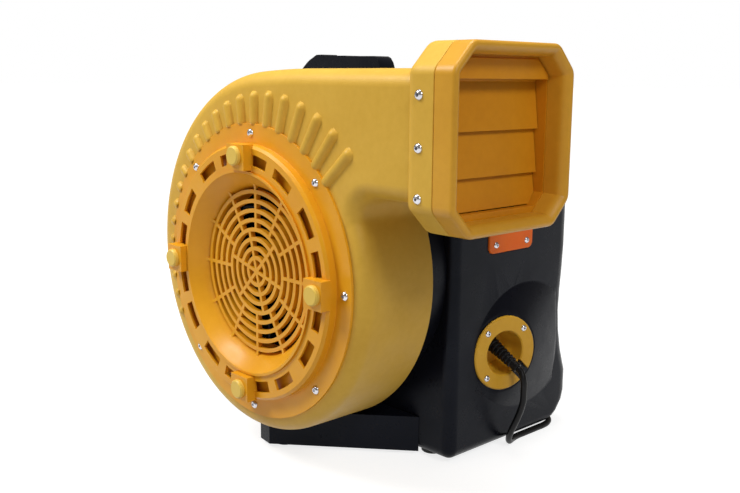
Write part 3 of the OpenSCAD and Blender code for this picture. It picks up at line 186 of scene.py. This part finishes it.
# Smooth shading that keeps real edges sharp, for the CAD nodes
def soft_group(name, limit):
    ng = bpy.data.node_groups.new(name, "GeometryNodeTree")
    for way in ("INPUT", "OUTPUT"):
        ng.interface.new_socket(name="Geometry", in_out=way, socket_type="NodeSocketGeometry")
    start, end = ng.nodes.new("NodeGroupInput"), ng.nodes.new("NodeGroupOutput")
    plain = ng.nodes.new("GeometryNodeRemoveAttribute")
    plain.inputs["Name"].default_value = "custom_normal"
    weld = ng.nodes.new("GeometryNodeMergeByDistance")
    weld.inputs["Distance"].default_value = 0.00002
    face = ng.nodes.new("GeometryNodeSetShadeSmooth")
    face.domain = "FACE"
    edge = ng.nodes.new("GeometryNodeSetShadeSmooth")
    edge.domain = "EDGE"
    angle = ng.nodes.new("GeometryNodeInputMeshEdgeAngle")
    flat = maths(ng, "LESS_THAN", angle.outputs["Unsigned Angle"], math.radians(limit))
    ng.links.new(start.outputs[0], plain.inputs[0])
    ng.links.new(plain.outputs[0], weld.inputs["Geometry"])
    ng.links.new(weld.outputs[0], face.inputs["Geometry"])
    ng.links.new(face.outputs[0], edge.inputs["Geometry"])
    ng.links.new(flat, edge.inputs["Shade Smooth"])
    ng.links.new(edge.outputs[0], end.inputs[0])
    return ng


SOFT = soft_group("soft_shading", 31)


def weighted_normals(obj):
    w = obj.modifiers.new("normals", "WEIGHTED_NORMAL")
    w.keep_sharp = True
    return w


def soften(obj, bevel, segments):
    obj.modifiers.new("soft", "NODES").node_group = SOFT
    if bevel:
        b = obj.modifiers.new("edges", "BEVEL")
        b.width = bevel * MM
        b.segments = segments
        b.limit_method = "ANGLE"
        b.angle_limit = math.radians(40)
        b.use_clamp_overlap = True
        b.miter_outer = "MITER_ARC"
    weighted_normals(obj).weight = 60


# Material and bevel of each CAD node
LOOKS = {
    "front_scroll": (YELLOW, 0), "rear_scroll": (SHELL, 0), "inlet_ring": (INLET, 1.0),
    "inlet_grille": (INLET, 0.9), "ring_pads": (PAD, 0.8), "flange_screws": (STEEL, 0),
    "outlet_frame": (FRAME, 0), "damper_frame": (FLAP, 0.4), "flap_top": (FLAP, 0.6),
    "flap_middle": (FLAP, 0.6), "flap_bottom": (FLAP, 0.6), "outlet_screws": (STEEL, 0),
    "impeller": (BLACK, 0), "motor_shaft": (SHAFT, 0), "rotor_core": (LAMIN, 0),
    "hub_nut": (STEEL, 0.6), "stator_can": (CAST, 0), "front_end_bell": (CAST, 0),
    "rear_end_bell": (CAST, 0), "front_bearing": (SHAFT, 0), "rear_bearing": (SHAFT, 0),
    "motor_screws": (STEEL, 0), "cooling_fan": (BLACK, 0), "fan_cowl": (BLACK, 0),
    "capacitor": (CAST, 0.6), "terminal_block": (BLACK, 0.6), "supply_lead": (RUBBER, 0),
    "motor_cover": (SHELL, 0), "cover_posts": (STEEL, 0), "cover_screws": (STEEL, 0),
    "base_cradle": (SHELL, 2.0), "rubber_feet": (FOOT, 0.6), "carry_handle": (BLACK, 3.0),
    "handle_screws": (STEEL, 0), "side_plate": (ORANGE, 0.7), "plate_screws": (STEEL, 0),
    "cord_cup": (CUP, 0.7), "cup_screws": (STEEL, 0), "strain_relief": (RUBBER, 0),
    "cord_run": (RUBBER, 0), "cord_coil": (RUBBER, 0), "cord_tail": (RUBBER, 0),
    "plug_body": (RUBBER, 0), "plug_pins": (BRASS, 0)}
for name, (mat, bevel) in LOOKS.items():
    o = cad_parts[name]
    o.data.materials.clear()
    o.data.materials.append(mat)
    soften(o, bevel, 3 if name == "carry_handle" else 2)


# Mesh helpers
def piece(name, verts, faces, mat, slot, body="housing", replaces=(), angle=40,
          weighted=True):
    """A smooth-shaded piece that is sharp where its faces turn by more than angle."""
    me = bpy.data.meshes.new(name)
    me.from_pydata([tuple(v) for v in verts], [], faces)
    me.validate()
    bm = bmesh.new()
    bm.from_mesh(me)
    bmesh.ops.remove_doubles(bm, verts=bm.verts, dist=1e-6)
    bmesh.ops.recalc_face_normals(bm, faces=bm.faces)
    for f in bm.faces:
        f.smooth = True
    for e in bm.edges:
        if len(e.link_faces) == 2 and e.calc_face_angle(0) > math.radians(angle):
            e.smooth = False
    bm.to_mesh(me)
    bm.free()
    o = bpy.data.objects.new(name, me)
    scene.collection.objects.link(o)
    me.materials.append(mat)
    if weighted:
        weighted_normals(o)
    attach(o, body)
    if replaces:
        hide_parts(*replaces)
    return o


def loft(rings, closed=True, caps=(False, False)):
    """Vertices and faces through rings of points, each ring a list of Vectors."""
    n = len(rings[0])
    verts = [p for r in rings for p in r]
    faces = []
    for j in range(len(rings) - 1):
        for i in range(n if closed else n - 1):
            a, b = j * n + i, j * n + (i + 1) % n
            faces.append((a, b, b + n, a + n))
    if caps[0]:
        faces.append(tuple(reversed(range(n))))
    if caps[1]:
        k = (len(rings) - 1) * n
        faces.append(tuple(range(k, k + n)))
    return verts, faces


def lathe(profile, n, place, lobes=None):
    """Turned form: profile of (radius, height), place the matrix that puts it in the row frame."""
    rings = []
    for k, (radius, z) in enumerate(profile):
        ring = []
        for a in turn(n):
            r = radius * (lobes(k, a) if lobes else 1)
            ring.append((place @ Vector((r * math.cos(a), r * math.sin(a), z))) * MM)
        rings.append(ring)
    return loft(rings, True, (profile[0][0] > 0, profile[-1][0] > 0))


def join(parts):
    verts, faces = [], []
    for v, f in parts:
        k = len(verts)
        verts += v
        faces += [tuple(i + k for i in q) for q in f]
    return verts, faces


# Cord, in millimetres of the row frame: from the strain relief down to the ground, round the
# housing and into the coil behind it
CORD_R = 4
RUN = [(146, 61, 109), (151, 61, 106), (155, 60, 100), (157, 60, 92), (157, 60, 82),
       (156, 61, 71), (153, 61, 59), (148, 61, 46), (142, 62, 34), (136, 64, 23), (130, 69, 13),
       (125, 77, 6), (120, 89, 4), (118, 102, 4), (118, 116, 4), (118, 130, 4), (118, 144, 4),
       (118, 156, 4), (116, 168, 4), (110, 179, 4), (100, 187, 4), (88, 191, 4), (75, 195, 4),
       (62, 201, 4), (50, 209, 4), (38, 217, 4), (26, 224, 4), (13, 230, 4), (0, 233, 4),
       (-14, 234, 4), (-27, 234, 4)]
TAIL = [(-43, 234, 29.8), (-51, 234, 30), (-60, 234, 29), (-69, 234, 26), (-78, 234, 22),
        (-87, 234, 19), (-95, 234, 18), (-103, 234, 18)]
COIL_AT, COIL_R, COIL_PITCH, COIL_TURNS = (-35, 288), 54, 8.6, 8


def smooth(t):
    t = max(0.0, min(1.0, t))
    return t * t * (3 - 2 * t)


def coil_point(u):
    """Point after u turns: two turns inward, two outward one layer up, and so on."""
    w = u % 4
    w = w if w < 2 else 4 - w
    r = COIL_R - COIL_PITCH * w
    a = math.radians(-90 - 360 * u)
    z = COIL_PITCH * sum(smooth((u - k * 2 + 0.25) / 0.5) for k in (1, 2, 3))
    return Vector((COIL_AT[0] + r * math.cos(a), COIL_AT[1] + r * math.sin(a), CORD_R + z))


def curved(points, steps):
    """Points of a smooth line through a route."""
    p = [Vector(q) for q in points]
    p = [2 * p[0] - p[1]] + p + [2 * p[-1] - p[-2]]
    out = []
    for a, b, c, d in zip(p, p[1:], p[2:], p[3:]):
        for k in range(steps):
            t = k / steps
            out.append(0.5 * (2 * b + (c - a) * t + (2 * a - 5 * b + 4 * c - d) * t * t
                              + (3 * b - a - 3 * c + d) * t ** 3))
    return out + [p[-2]]


def mains_cord():
    steps = 48                              # points to a turn of the coil
    path = curved(RUN, 4)[:-1]
    path += [coil_point(i / steps) for i in range(COIL_TURNS * steps + 1)] + curved(TAIL, 4)
    path = [Vector((p.x, p.y, max(p.z, CORD_R))) for p in path]
    clean = [path[0]]
    for p in path[1:]:
        if (p - clean[-1]).length > 0.8:
            clean.append(p)
    data = bpy.data.curves.new("mains_cord", "CURVE")
    data.dimensions = "3D"
    spline = data.splines.new("POLY")
    spline.points.add(len(clean) - 1)
    for q, p in zip(spline.points, clean):
        q.co = (*(p * MM), 1)
    data.bevel_depth = CORD_R * MM
    data.bevel_resolution = 4
    data.use_fill_caps = True
    data.materials.append(RUBBER)
    o = bpy.data.objects.new("mains_cord", data)
    scene.collection.objects.link(o)
    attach(o, "housing")
    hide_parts("cord_run", "cord_coil", "cord_tail")
    return o, sum((b - a).length for a, b in zip(clean, clean[1:])) * MM


# Plug: four ribs of growing width behind its waisted grip, and two pins
def mains_plug():
    place = Matrix.Translation((-103, 234, 18)) @ Matrix.Rotation(math.radians(-90), 4, "Y")
    length, pin_out = 44, 9.5
    profile = [(5.0, 0), (5.6, 0.4)]
    for i in range(4):
        z, r = 1.5 + i * 3.4, 5.9 + i * 0.5
        profile += [(r + 0.3, z), (r + 0.7, z + 0.5), (r + 0.7, z + 1.6), (r, z + 2.1),
                    (r, z + 2.9)]
    profile += [(9.5, 15.2), (13, 16.6), (16, 17.6), (17.4, 19), (18, 21), (18, 25), (16.6, 28),
                (16.2, 31), (16.6, 34), (18, 37), (18, 41.5), (17.5, 43), (16.2, length),
                (0.01, length)]
    grip = piece("plug_grip", *lathe(profile, 48, place), RUBBER, "cord_rubber",
                 replaces=("plug_body",))
    pin = [(2.4, 0), (2.4, 16.6), (2.1, 18), (1.3, 18.8), (0.01, 19)]
    pins = [lathe(pin, 24, place @ Matrix.Translation((0, s * pin_out, length)))
            for s in (-1, 1)]
    contacts = piece("plug_contacts", *join(pins), BRASS, "shaft_steel",
                     replaces=("plug_pins",))
    return grip, contacts


cord, cord_length = mains_cord()
plug, plug_pins = mains_plug()


# Strain relief: a tapering sleeve with eight ribs, from the cup to the cord's first point
def relief():
    start, end = Vector((100, 59, 135)), Vector(RUN[0])
    turned = (end - start).normalized().to_track_quat("Z", "Y")
    place = Matrix.Translation(start) @ turned.to_matrix().to_4x4()
    length = (end - start).length
    wide, taper, ribs = 9.5, 3.5, 8
    step = length * 0.8 / ribs
    profile = [(8.5, -14), (8.5, 0), (wide, 0)]
    for i in range(ribs):
        z = step * (i + 0.6)
        r = wide - taper * z / length
        profile += [(r - less, z + step * way) for less, way in
                    ((0.5, 0), (0, 0.1), (0, 0.45), (0.4, 0.55), (1.4, 0.62), (1.4, 0.93))]
    profile += [(6, step * (ribs + 0.6)), (5.9, length - 0.6), (5.3, length), (0.01, length)]
    piece("relief_sleeve", *lathe(profile, 40, place), RUBBER, "cord_rubber",
          replaces=("strain_relief",))


relief()


# Scroll outline, as the CAD draws it but finer: from the duct's lower edge round the cutoff,
# along the spiral of radius r that grows by g, and easing into the duct's upper edge
def outline(r, g, low, end_x):
    cutoff_r, ease_x = 22.0, 85.0
    fillet, spiral, ease = 14, 150, 10      # steps of each stretch
    a = math.asin((low - cutoff_r) / (r + cutoff_r))
    sweep = a + math.radians(270)
    k = 2 * g / ((r + g) * sweep)
    pts = [(end_x, low)]
    for i in range(fillet + 1):
        b = math.pi / 2 + (math.pi / 2 + a) * i / fillet
        pts.append(((r + cutoff_r) * math.cos(a) + cutoff_r * math.cos(b),
                    low - cutoff_r + cutoff_r * math.sin(b)))
    for i in range(1, spiral + 1):
        t = i / spiral
        ang, s = a - t * sweep, r + g * t * t
        pts.append((s * math.cos(ang), s * math.sin(ang)))
    for i in range(1, ease + 1):
        x = ease_x * i / ease
        pts.append((x, r + g + k * x - k * x * x / (2 * ease_x)))
    pts.append((end_x, r + g + k * ease_x / 2))
    return pts


def inset(p, d):
    """A line of points drawn in by d."""
    out = []
    for i, q in enumerate(p):
        a, b = p[max(i - 1, 0)], p[min(i + 1, len(p) - 1)]
        dx, dy = b[0] - a[0], b[1] - a[1]
        s = math.hypot(dx, dy)
        out.append((q[0] + d * dy / s, q[1] - d * dx / s))
    return out


def circle(r, y):
    return [at(r * math.cos(t), y, r * math.sin(t)) for t in turn(96)]


FRONT = outline(184, 44, 103, 249)
REAR = outline(158, 65, 108, 249)


# Front half of the scroll, one wall: levels of (y, inset) from the face over its rounded edge
# to the parting plane
def volute_front():
    edge_r, inlet_r, wall = 18, 145, 3.5
    quarter = [math.pi / 2 * j / 12 for j in range(13)]
    levels = [(FACE_Y + edge_r * (1 - math.cos(a)), edge_r * (1 - math.sin(a)))
              for a in quarter]
    levels += [(y, 0) for y in (30, 50, 75, 100, 106.5)] + [(107.6, 0.35), (108, 1.2)]
    bm = bmesh.new()
    rings = [[bm.verts.new(at(x, y, z)) for x, z in inset(FRONT, d)] for y, d in levels]
    for a, b in zip(rings, rings[1:]):
        for i in range(len(a) - 1):
            bm.faces.new((a[i], b[i], b[i + 1], a[i + 1]))
    hole, first = [bm.verts.new(p) for p in circle(inlet_r, FACE_Y)], rings[0]
    edges = [bm.edges.new(pair) for pair in zip(hole, hole[1:] + hole[:1])]
    edges += [bm.edges.get(pair) for pair in zip(first, first[1:])]
    edges.append(bm.edges.new((first[-1], first[0])))
    bmesh.ops.triangle_fill(bm, use_beauty=True, edges=edges)
    bmesh.ops.recalc_face_normals(bm, faces=bm.faces)
    bm.verts.index_update()
    verts = [v.co.copy() for v in bm.verts]
    faces = [tuple(v.index for v in f.verts) for f in bm.faces]
    bm.free()
    o = piece("volute_front", verts, faces, YELLOW, "yellow_shell", replaces=("front_scroll",),
              weighted=False)
    face = next(p for p in o.data.polygons if abs(p.normal.y) > 0.99)
    if face.normal.y > 0:
        o.data.flip_normals()
    s = o.modifiers.new("wall", "SOLIDIFY")
    s.thickness, s.offset = wall * MM, -1
    weighted_normals(o)


# Step between the two halves
def volute_step():
    rings = [[at(x, y, z) for x, z in line] for line, y in
             ((inset(FRONT, 1.0), PARTING_Y), (inset(REAR, 2.0), PARTING_Y),
              (inset(REAR, 2.0), 104))]
    piece("volute_step", *loft(rings, closed=False), YELLOW, "yellow_shell")


volute_front()
volute_step()


# Ribs round the inlet, shorter from one to the next
def ribs():
    count, first, apart = 22, 42, 7.8       # number, angle of the first, degrees between two
    start, half, high = 169.5, 7.0, 5.4     # inner end, half the width, height
    first_end, shorter, least = 224.2, 2.9, 181.45      # outer end, and how it draws in
    sunk = 0.15                             # of the rib's edge in the wall
    along, across = 24, 14                  # steps of the mesh
    parts = []
    for i in range(count):
        ang = math.radians(first + apart * i)
        c, d = math.cos(ang), math.sin(ang)
        end = max(first_end - shorter * i, least)
        rings = []
        for s in range(along + 1):
            q = start + (end - start) * s / along
            ring = []
            for v in range(across + 1):
                w = half * (2 * v / across - 1)
                over = max(0.0, q - (end - half), (start + 3 - q) * 1.2)
                t = min(1.0, math.hypot(w, over) / half)
                h = high * max(0.0, 1 - t ** 2.2) ** 0.8 - sunk
                ring.append(at(q * c - w * d, FACE_Y - h, q * d + w * c))
            rings.append(ring)
        parts.append(loft(rings, closed=False))
    piece("volute_ribs", *join(parts), YELLOW, "yellow_shell", weighted=False, angle=80)


ribs()


# Outlet: eight-cornered outline, drawn in by d
def frame_line(d):
    round_r, cut, steps = 14.0, 26.0, 8
    diagonal = 2 - math.sqrt(2)
    r = round_r - min(d, round_r)
    e = max(d - round_r, 0)
    a, b = OUTLET_W / 2 - round_r - e, OUTLET_H / 2 - round_r - e
    m = cut - round_r * diagonal - e * diagonal
    q = [(a, -b + m), (a, b - m), (a - m, b), (-a + m, b),
         (-a, b - m), (-a, -b + m), (-a + m, -b), (a - m, -b)]
    out = []
    for i, (y, z) in enumerate(q):
        for j in range(steps + 1):
            t = math.radians(-45 + 45 * (i + j / steps))
            out.append((OUTLET_W / 2 + y + r * math.cos(t),
                        OUTLET_LOW + OUTLET_H / 2 + z + r * math.sin(t)))
    return out


def outlet_rings(profile):
    """Rings through a profile of (x, inset); an inset beyond the rounding stops at deepest."""
    limit, deepest = 14, 13.9
    return [[at(x, y, z) for y, z in frame_line(d if d <= limit else deepest)]
            for x, d in profile]


# Frame: from the sleeve's end over the back, the outside, the lip and into the throat
def outlet_surround():
    throat_x, lip_x, lip_r = DAMPER_X + 0.4, 300.5, 4.5
    lip = [math.radians(90 - 15 * k) for k in range(1, 7)]
    profile = [(249.5, 7.3), (249.5, 4.4), (279.7, 4.4), (280.15, 1.0), (280.5, 0.3),
               (281.2, 0.0), (292, 0), (lip_x, 0)]
    profile += [(lip_x + lip_r * math.cos(a), lip_r - lip_r * math.sin(a)) for a in lip]
    profile += [(304.8, 5.6), (304.2, 6.8), (302.9, 8.4), (301.2, 10.0), (299.2, 11.3),
                (296.6, 12.2), (293, 12.5), (throat_x, 12.6), (throat_x, 7.3), (249.5, 7.3)]
    piece("outlet_surround", *loft(outlet_rings(profile)), FRAME, "yellow_shell",
          replaces=("outlet_frame",), angle=50)


# Collar: front half only, up to the parting plane
def outlet_collar():
    profile = [(240.5, 20), (241.8, 14), (242.4, 11), (243.2, 8.2), (244.8, 5.2), (247.2, 2.7),
               (250.2, 1.0), (253.4, 0.2), (256, 0), (262, 0), (278.6, 0), (279.4, 0.3),
               (279.7, 1.0), (279.7, 4.2)]
    verts, faces = loft(outlet_rings(profile))
    bm = bmesh.new()
    vs = [bm.verts.new(v) for v in verts]
    for f in faces:
        bm.faces.new([vs[i] for i in f])
    bmesh.ops.bisect_plane(bm, geom=bm.verts[:] + bm.edges[:] + bm.faces[:],
                           plane_co=at(0, PARTING_Y, 0), plane_no=(0, 1, 0), clear_outer=True)
    bm.verts.index_update()
    verts = [v.co.copy() for v in bm.verts]
    faces = [tuple(v.index for v in f.verts) for f in bm.faces]
    bm.free()
    piece("outlet_collar", verts, faces, YELLOW, "yellow_shell", angle=60)


outlet_surround()
outlet_collar()


# Floor of the ring behind its slots
def ring_floor():
    inner, outer, front, back = 120.5, 143.5, -1.5, -0.5
    rings = [circle(r, y) for r, y in ((inner, front), (outer, front), (outer, back),
                                       (inner, back), (inner, front))]
    piece("ring_floor", *loft(rings), INLET, "inlet_plastic")


ring_floor()


# Ends of the grille's spokes on the bell's wall
def spoke_ends():
    spine = ((95.0, 5.0), (99.0, 4.4), (102.5, 2.0), (105.2, -1.2))     # radius, y
    section = ((-2, 0.4), (-1.6, 0), (1.6, 0), (2, 0.4), (2, 3.4), (-2, 3.4))
    parts = []
    for a in turn(12):
        c, d = math.cos(a), math.sin(a)
        rings = [[at(r * c - w * d, y + dy, r * d + w * c) for w, dy in section]
                 for r, y in spine]
        parts.append(loft(rings, True, (True, True)))
    piece("spoke_ends", *join(parts), INLET, "inlet_plastic", angle=50)


spoke_ends()


# Header above the flaps, with cut upper corners and a gap to the throat
def louvre_header():
    y0, y1, low, top, cut = 14.0, 167.5, 221.4, 241.5, 20
    half = [(0, low), (0, top - cut), (1.5, top - cut + 5), (cut - 4, top - 1.5), (cut, top)]
    line = [(y0 + way, z) for way, z in half] + [(y1 - way, z) for way, z in reversed(half)]
    cy, cz = (y0 + y1) / 2, (low + top) / 2
    rings = [[at(DAMPER_X + out, y + (d if y < cy else -d), z + (d if z < cz else -d))
              for y, z in line] for out, d in ((-4, 0), (1.6, 0), (2.2, 0.25), (2.5, 0.8))]
    piece("louvre_header", *loft(rings, True, (True, True)), FLAP, "flap_plastic", angle=50)


louvre_header()


# Orange plate with softened edges
def plate_face():
    half_y, half_z, corner = 41, 20, 8
    rings = []
    for down, d in ((2.8, 0), (0.8, 0), (0.25, 0.3), (0, 0.9)):
        ring = []
        for i, (sy, sz) in enumerate(((1, 1), (-1, 1), (-1, -1), (1, -1))):
            for j in range(9):
                t = math.radians(90 * i + 90 * j / 8)
                ring.append(at(PLATE_X - down,
                               PLATE_Y + sy * (half_y - corner) + (corner - d) * math.cos(t),
                               PLATE_Z + sz * (half_z - corner) + (corner - d) * math.sin(t)))
        rings.append(ring)
    piece("plate_face", *loft(rings, True, (True, True)), ORANGE, "plate_plastic",
          replaces=("side_plate",), angle=50)


plate_face()


# Screws with a domed head and a six-lobed recess, the recess's floor covered by a dark disc of
# painted shade
HEAD = [(0.01, 0.9), (1.15, 0.95), (1.45, 1.6), (1.6, 2.75), (2.3, 2.8), (3.2, 2.45),
        (4.1, 1.75), (4.7, 0.95), (4.95, 0.3), (4.95, 0.0), (2.5, -0.2)]
# Disc of painted shade over the floor of each screw's recess
RECESS_SHADE_DISC = [(1.35, 1.0), (0.01, 1.02)]


def lobed(k, a):
    """Six lobes for the points of HEAD that lie in the recess."""
    return 1 + (0.16 * math.cos(6 * a) if k in (1, 2, 3) else 0)


def screw_heads(name, places, node, scale=1.0):
    places = [m @ Matrix.Scale(scale, 4) for m in places]
    heads = [lathe(HEAD, 36, m, lobed) for m in places]
    # A dark disc of painted shade in each head's recess
    shade_discs = [lathe(RECESS_SHADE_DISC, 18, m) for m in places]
    piece(name, *join(heads), STEEL, "screw_steel", replaces=(node,), angle=45)
    piece(name + "_recess_shade", *join(shade_discs), RECESS_SHADE, "screw_steel")


def frame_at(p, out):
    """Place of a screw at p whose head looks out."""
    turned = Vector(out).to_track_quat("Z", "Y").to_matrix().to_4x4()
    return Matrix.Translation(Vector(p) + FAN) @ turned


FLANGE_SCREW_R, COLLAR_X = 160, 261.5
COLLAR_SCREWS = (0.2, 0.46, 0.727)          # shares of the outlet frame's height
screw_heads("flange_screw_heads",
            [frame_at((FLANGE_SCREW_R * math.cos(a), 0, FLANGE_SCREW_R * math.sin(a)),
                      (0, -1, 0)) for a in turn(8)], "flange_screws")
screw_heads("collar_screw_heads",
            [frame_at((COLLAR_X, y, OUTLET_LOW + s * OUTLET_H), (0, out, 0))
             for y, out in ((0, -1), (OUTLET_W, 1)) for s in COLLAR_SCREWS],
            "outlet_screws")
screw_heads("plate_screw_heads",
            [frame_at((PLATE_X, PLATE_Y + y, PLATE_Z + z), (1, 0, 0))
             for y in (-29, 29) for z in (-10, 10)], "plate_screws", 0.8)

# Cord cup: its axis leans forward, and the front of its flange lies just over the cover's side
TILT, CUP_R, CUP_LIFT, CUP_SCREW_R = math.radians(11.5), 46, 1.75, 39
CUP_AXIS = Vector((math.cos(TILT), -math.sin(TILT), 0))
CUP_AT = Vector((COVER_X + CUP_R * math.sin(TILT) + CUP_LIFT, 242, -105))
CUP_TURN = Matrix.Rotation(-TILT, 4, "Z") @ Matrix.Rotation(math.pi / 2, 4, "Y")


def from_cup(a, r):
    """From the cup's middle to radius r at angle a of its flange."""
    return CUP_TURN @ Vector((r * math.cos(a), r * math.sin(a), 0))


# Smooth skin over the boss that carries the cup, down its flank and out onto the cover's side
def cup_boss():
    steps, around = 16, 144
    top_r, top_low, end_y = 49.5, 3.8, 351.5        # upper rim, and the cover's rear edge
    side = COVER_X + 0.05                   # just over the cover's side
    run, fall = 63.5, 25.6                  # slope of the boss's flank
    clear, swell = 0.35, 0.9                # over the CAD's boss: at the ends, and more between
    foot = ((0.2, 1.5), (0.65, 2.6), (1, 4.4))      # share of the last drop, way out
    rings = [[] for k in range(steps + 1 + len(foot))]
    for a in turn(around):
        e = from_cup(a, 1)
        down = (e * run - CUP_AXIS * fall).normalized()
        out = (e * fall + CUP_AXIS * run).normalized()
        top = CUP_AT + e * top_r - CUP_AXIS * top_low + out * clear
        reach = max((side - top.x) / down.x, 0) if down.x < 0 else 0
        if down.y > 0:
            reach = min(reach, (end_y - top.y) / down.y)
        for k in range(steps + 1):
            t = k / steps
            bulge = swell * math.sin(math.pi * t) ** 0.8 * min(1, reach / 30)
            q = top + down * reach * t + out * bulge
            rings[k].append(at(max(q.x, side), q.y, q.z))
        last, flat = Vector((max(q.x, side), q.y, q.z)), Vector((0, e.y, e.z)).normalized()
        for k, (drop, way) in enumerate(foot):
            p = last + flat * way
            rings[steps + 1 + k].append(at(last.x + (side - 0.1 - last.x) * drop, p.y, p.z))
    piece("cup_boss_skin", *loft(rings), SHELL, "black_shell", weighted=False, angle=180)


cup_boss()
screw_heads("cup_screw_heads",
            [frame_at(CUP_AT + from_cup(math.radians(a), CUP_SCREW_R), CUP_AXIS)
             for a in (135, 225, 315)],
            "cup_screws", 0.8)


# Floor: grey under the part's light, white for the camera and for reflections, whiter far out
def ground():
    half = 60                               # metres
    me = bpy.data.meshes.new("floor")
    me.from_pydata([(-half, -half, 0), (half, -half, 0), (half, half, 0), (-half, half, 0)],
                   [], [(0, 1, 2, 3)])
    floor = bpy.data.objects.new("floor", me)
    scene.collection.objects.link(floor)
    mat, tree, bsdf = nodes_of("floor")
    bsdf.inputs["Base Color"].default_value = (0.42, 0.42, 0.42, 1)
    bsdf.inputs["Roughness"].default_value = 0.9
    bsdf.inputs["Specular IOR Level"].default_value = 0.1
    ray = tree.nodes.new("ShaderNodeLightPath").outputs
    mirrored = maths(tree, "MAXIMUM", ray["Is Glossy Ray"], ray["Is Transmission Ray"])
    seen = maths(tree, "MAXIMUM", ray["Is Camera Ray"], mirrored)
    place = tree.nodes.new("ShaderNodeTexCoord")
    far = tree.nodes.new("ShaderNodeVectorMath")
    far.operation = "LENGTH"
    tree.links.new(place.outputs["Object"], far.inputs[0])
    whiter = tree.nodes.new("ShaderNodeMapRange")
    for k, v in (("From Min", 0.5), ("From Max", 2.4), ("To Min", 0.8), ("To Max", 1.0)):
        whiter.inputs[k].default_value = v
    tree.links.new(far.outputs["Value"], whiter.inputs["Value"])
    glow = tree.nodes.new("ShaderNodeEmission")
    glow.inputs["Color"].default_value = (1, 1, 1, 1)
    tree.links.new(maths(tree, "MULTIPLY", seen, whiter.outputs[0]), glow.inputs["Strength"])
    add = tree.nodes.new("ShaderNodeAddShader")
    tree.links.new(bsdf.outputs[0], add.inputs[0])
    tree.links.new(glow.outputs[0], add.inputs[1])
    out = next(n for n in tree.nodes if n.type == "OUTPUT_MATERIAL")
    tree.links.new(add.outputs[0], out.inputs[0])
    me.materials.append(mat)


# World: soft warm light, and white for the camera
def surroundings():
    world = bpy.data.worlds.new("world")
    scene.world = world
    world.use_nodes = True
    tree = world.node_tree
    tree.nodes.clear()
    out = tree.nodes.new("ShaderNodeOutputWorld")
    ray = tree.nodes.new("ShaderNodeLightPath")
    mix = tree.nodes.new("ShaderNodeMixShader")
    tree.links.new(ray.outputs["Is Camera Ray"], mix.inputs[0])
    for k, (colour, strength) in enumerate((((1, 0.93, 0.83, 1), 0.24), ((1, 1, 1, 1), 1.0))):
        sky = tree.nodes.new("ShaderNodeBackground")
        sky.inputs[0].default_value = colour
        sky.inputs[1].default_value = strength
        tree.links.new(sky.outputs[0], mix.inputs[k + 1])
    tree.links.new(mix.outputs[0], out.inputs[0])


def lamp(name, place, aim, size, watts):
    """Area light, with place, aim and size in metres."""
    d = bpy.data.lights.new(name, "AREA")
    d.shape, d.size, d.size_y = "RECTANGLE", size[0], size[1]
    d.energy = watts
    o = bpy.data.objects.new(name, d)
    scene.collection.objects.link(o)
    o.location = place
    o.rotation_euler = (Vector(aim) - Vector(place)).to_track_quat("-Z", "Y").to_euler()


ground()
surroundings()
lamp("key", (-1.1, -1.4, 2.0), (0, 0, 0.25), (1.0, 0.8), 41)
lamp("side", (1.8, -0.6, 1.7), (0.2, -0.1, 0.35), (0.6, 0.6), 16)
lamp("top", (-0.1, 0.0, 2.2), (0, 0, 0.3), (1.0, 0.8), 24)
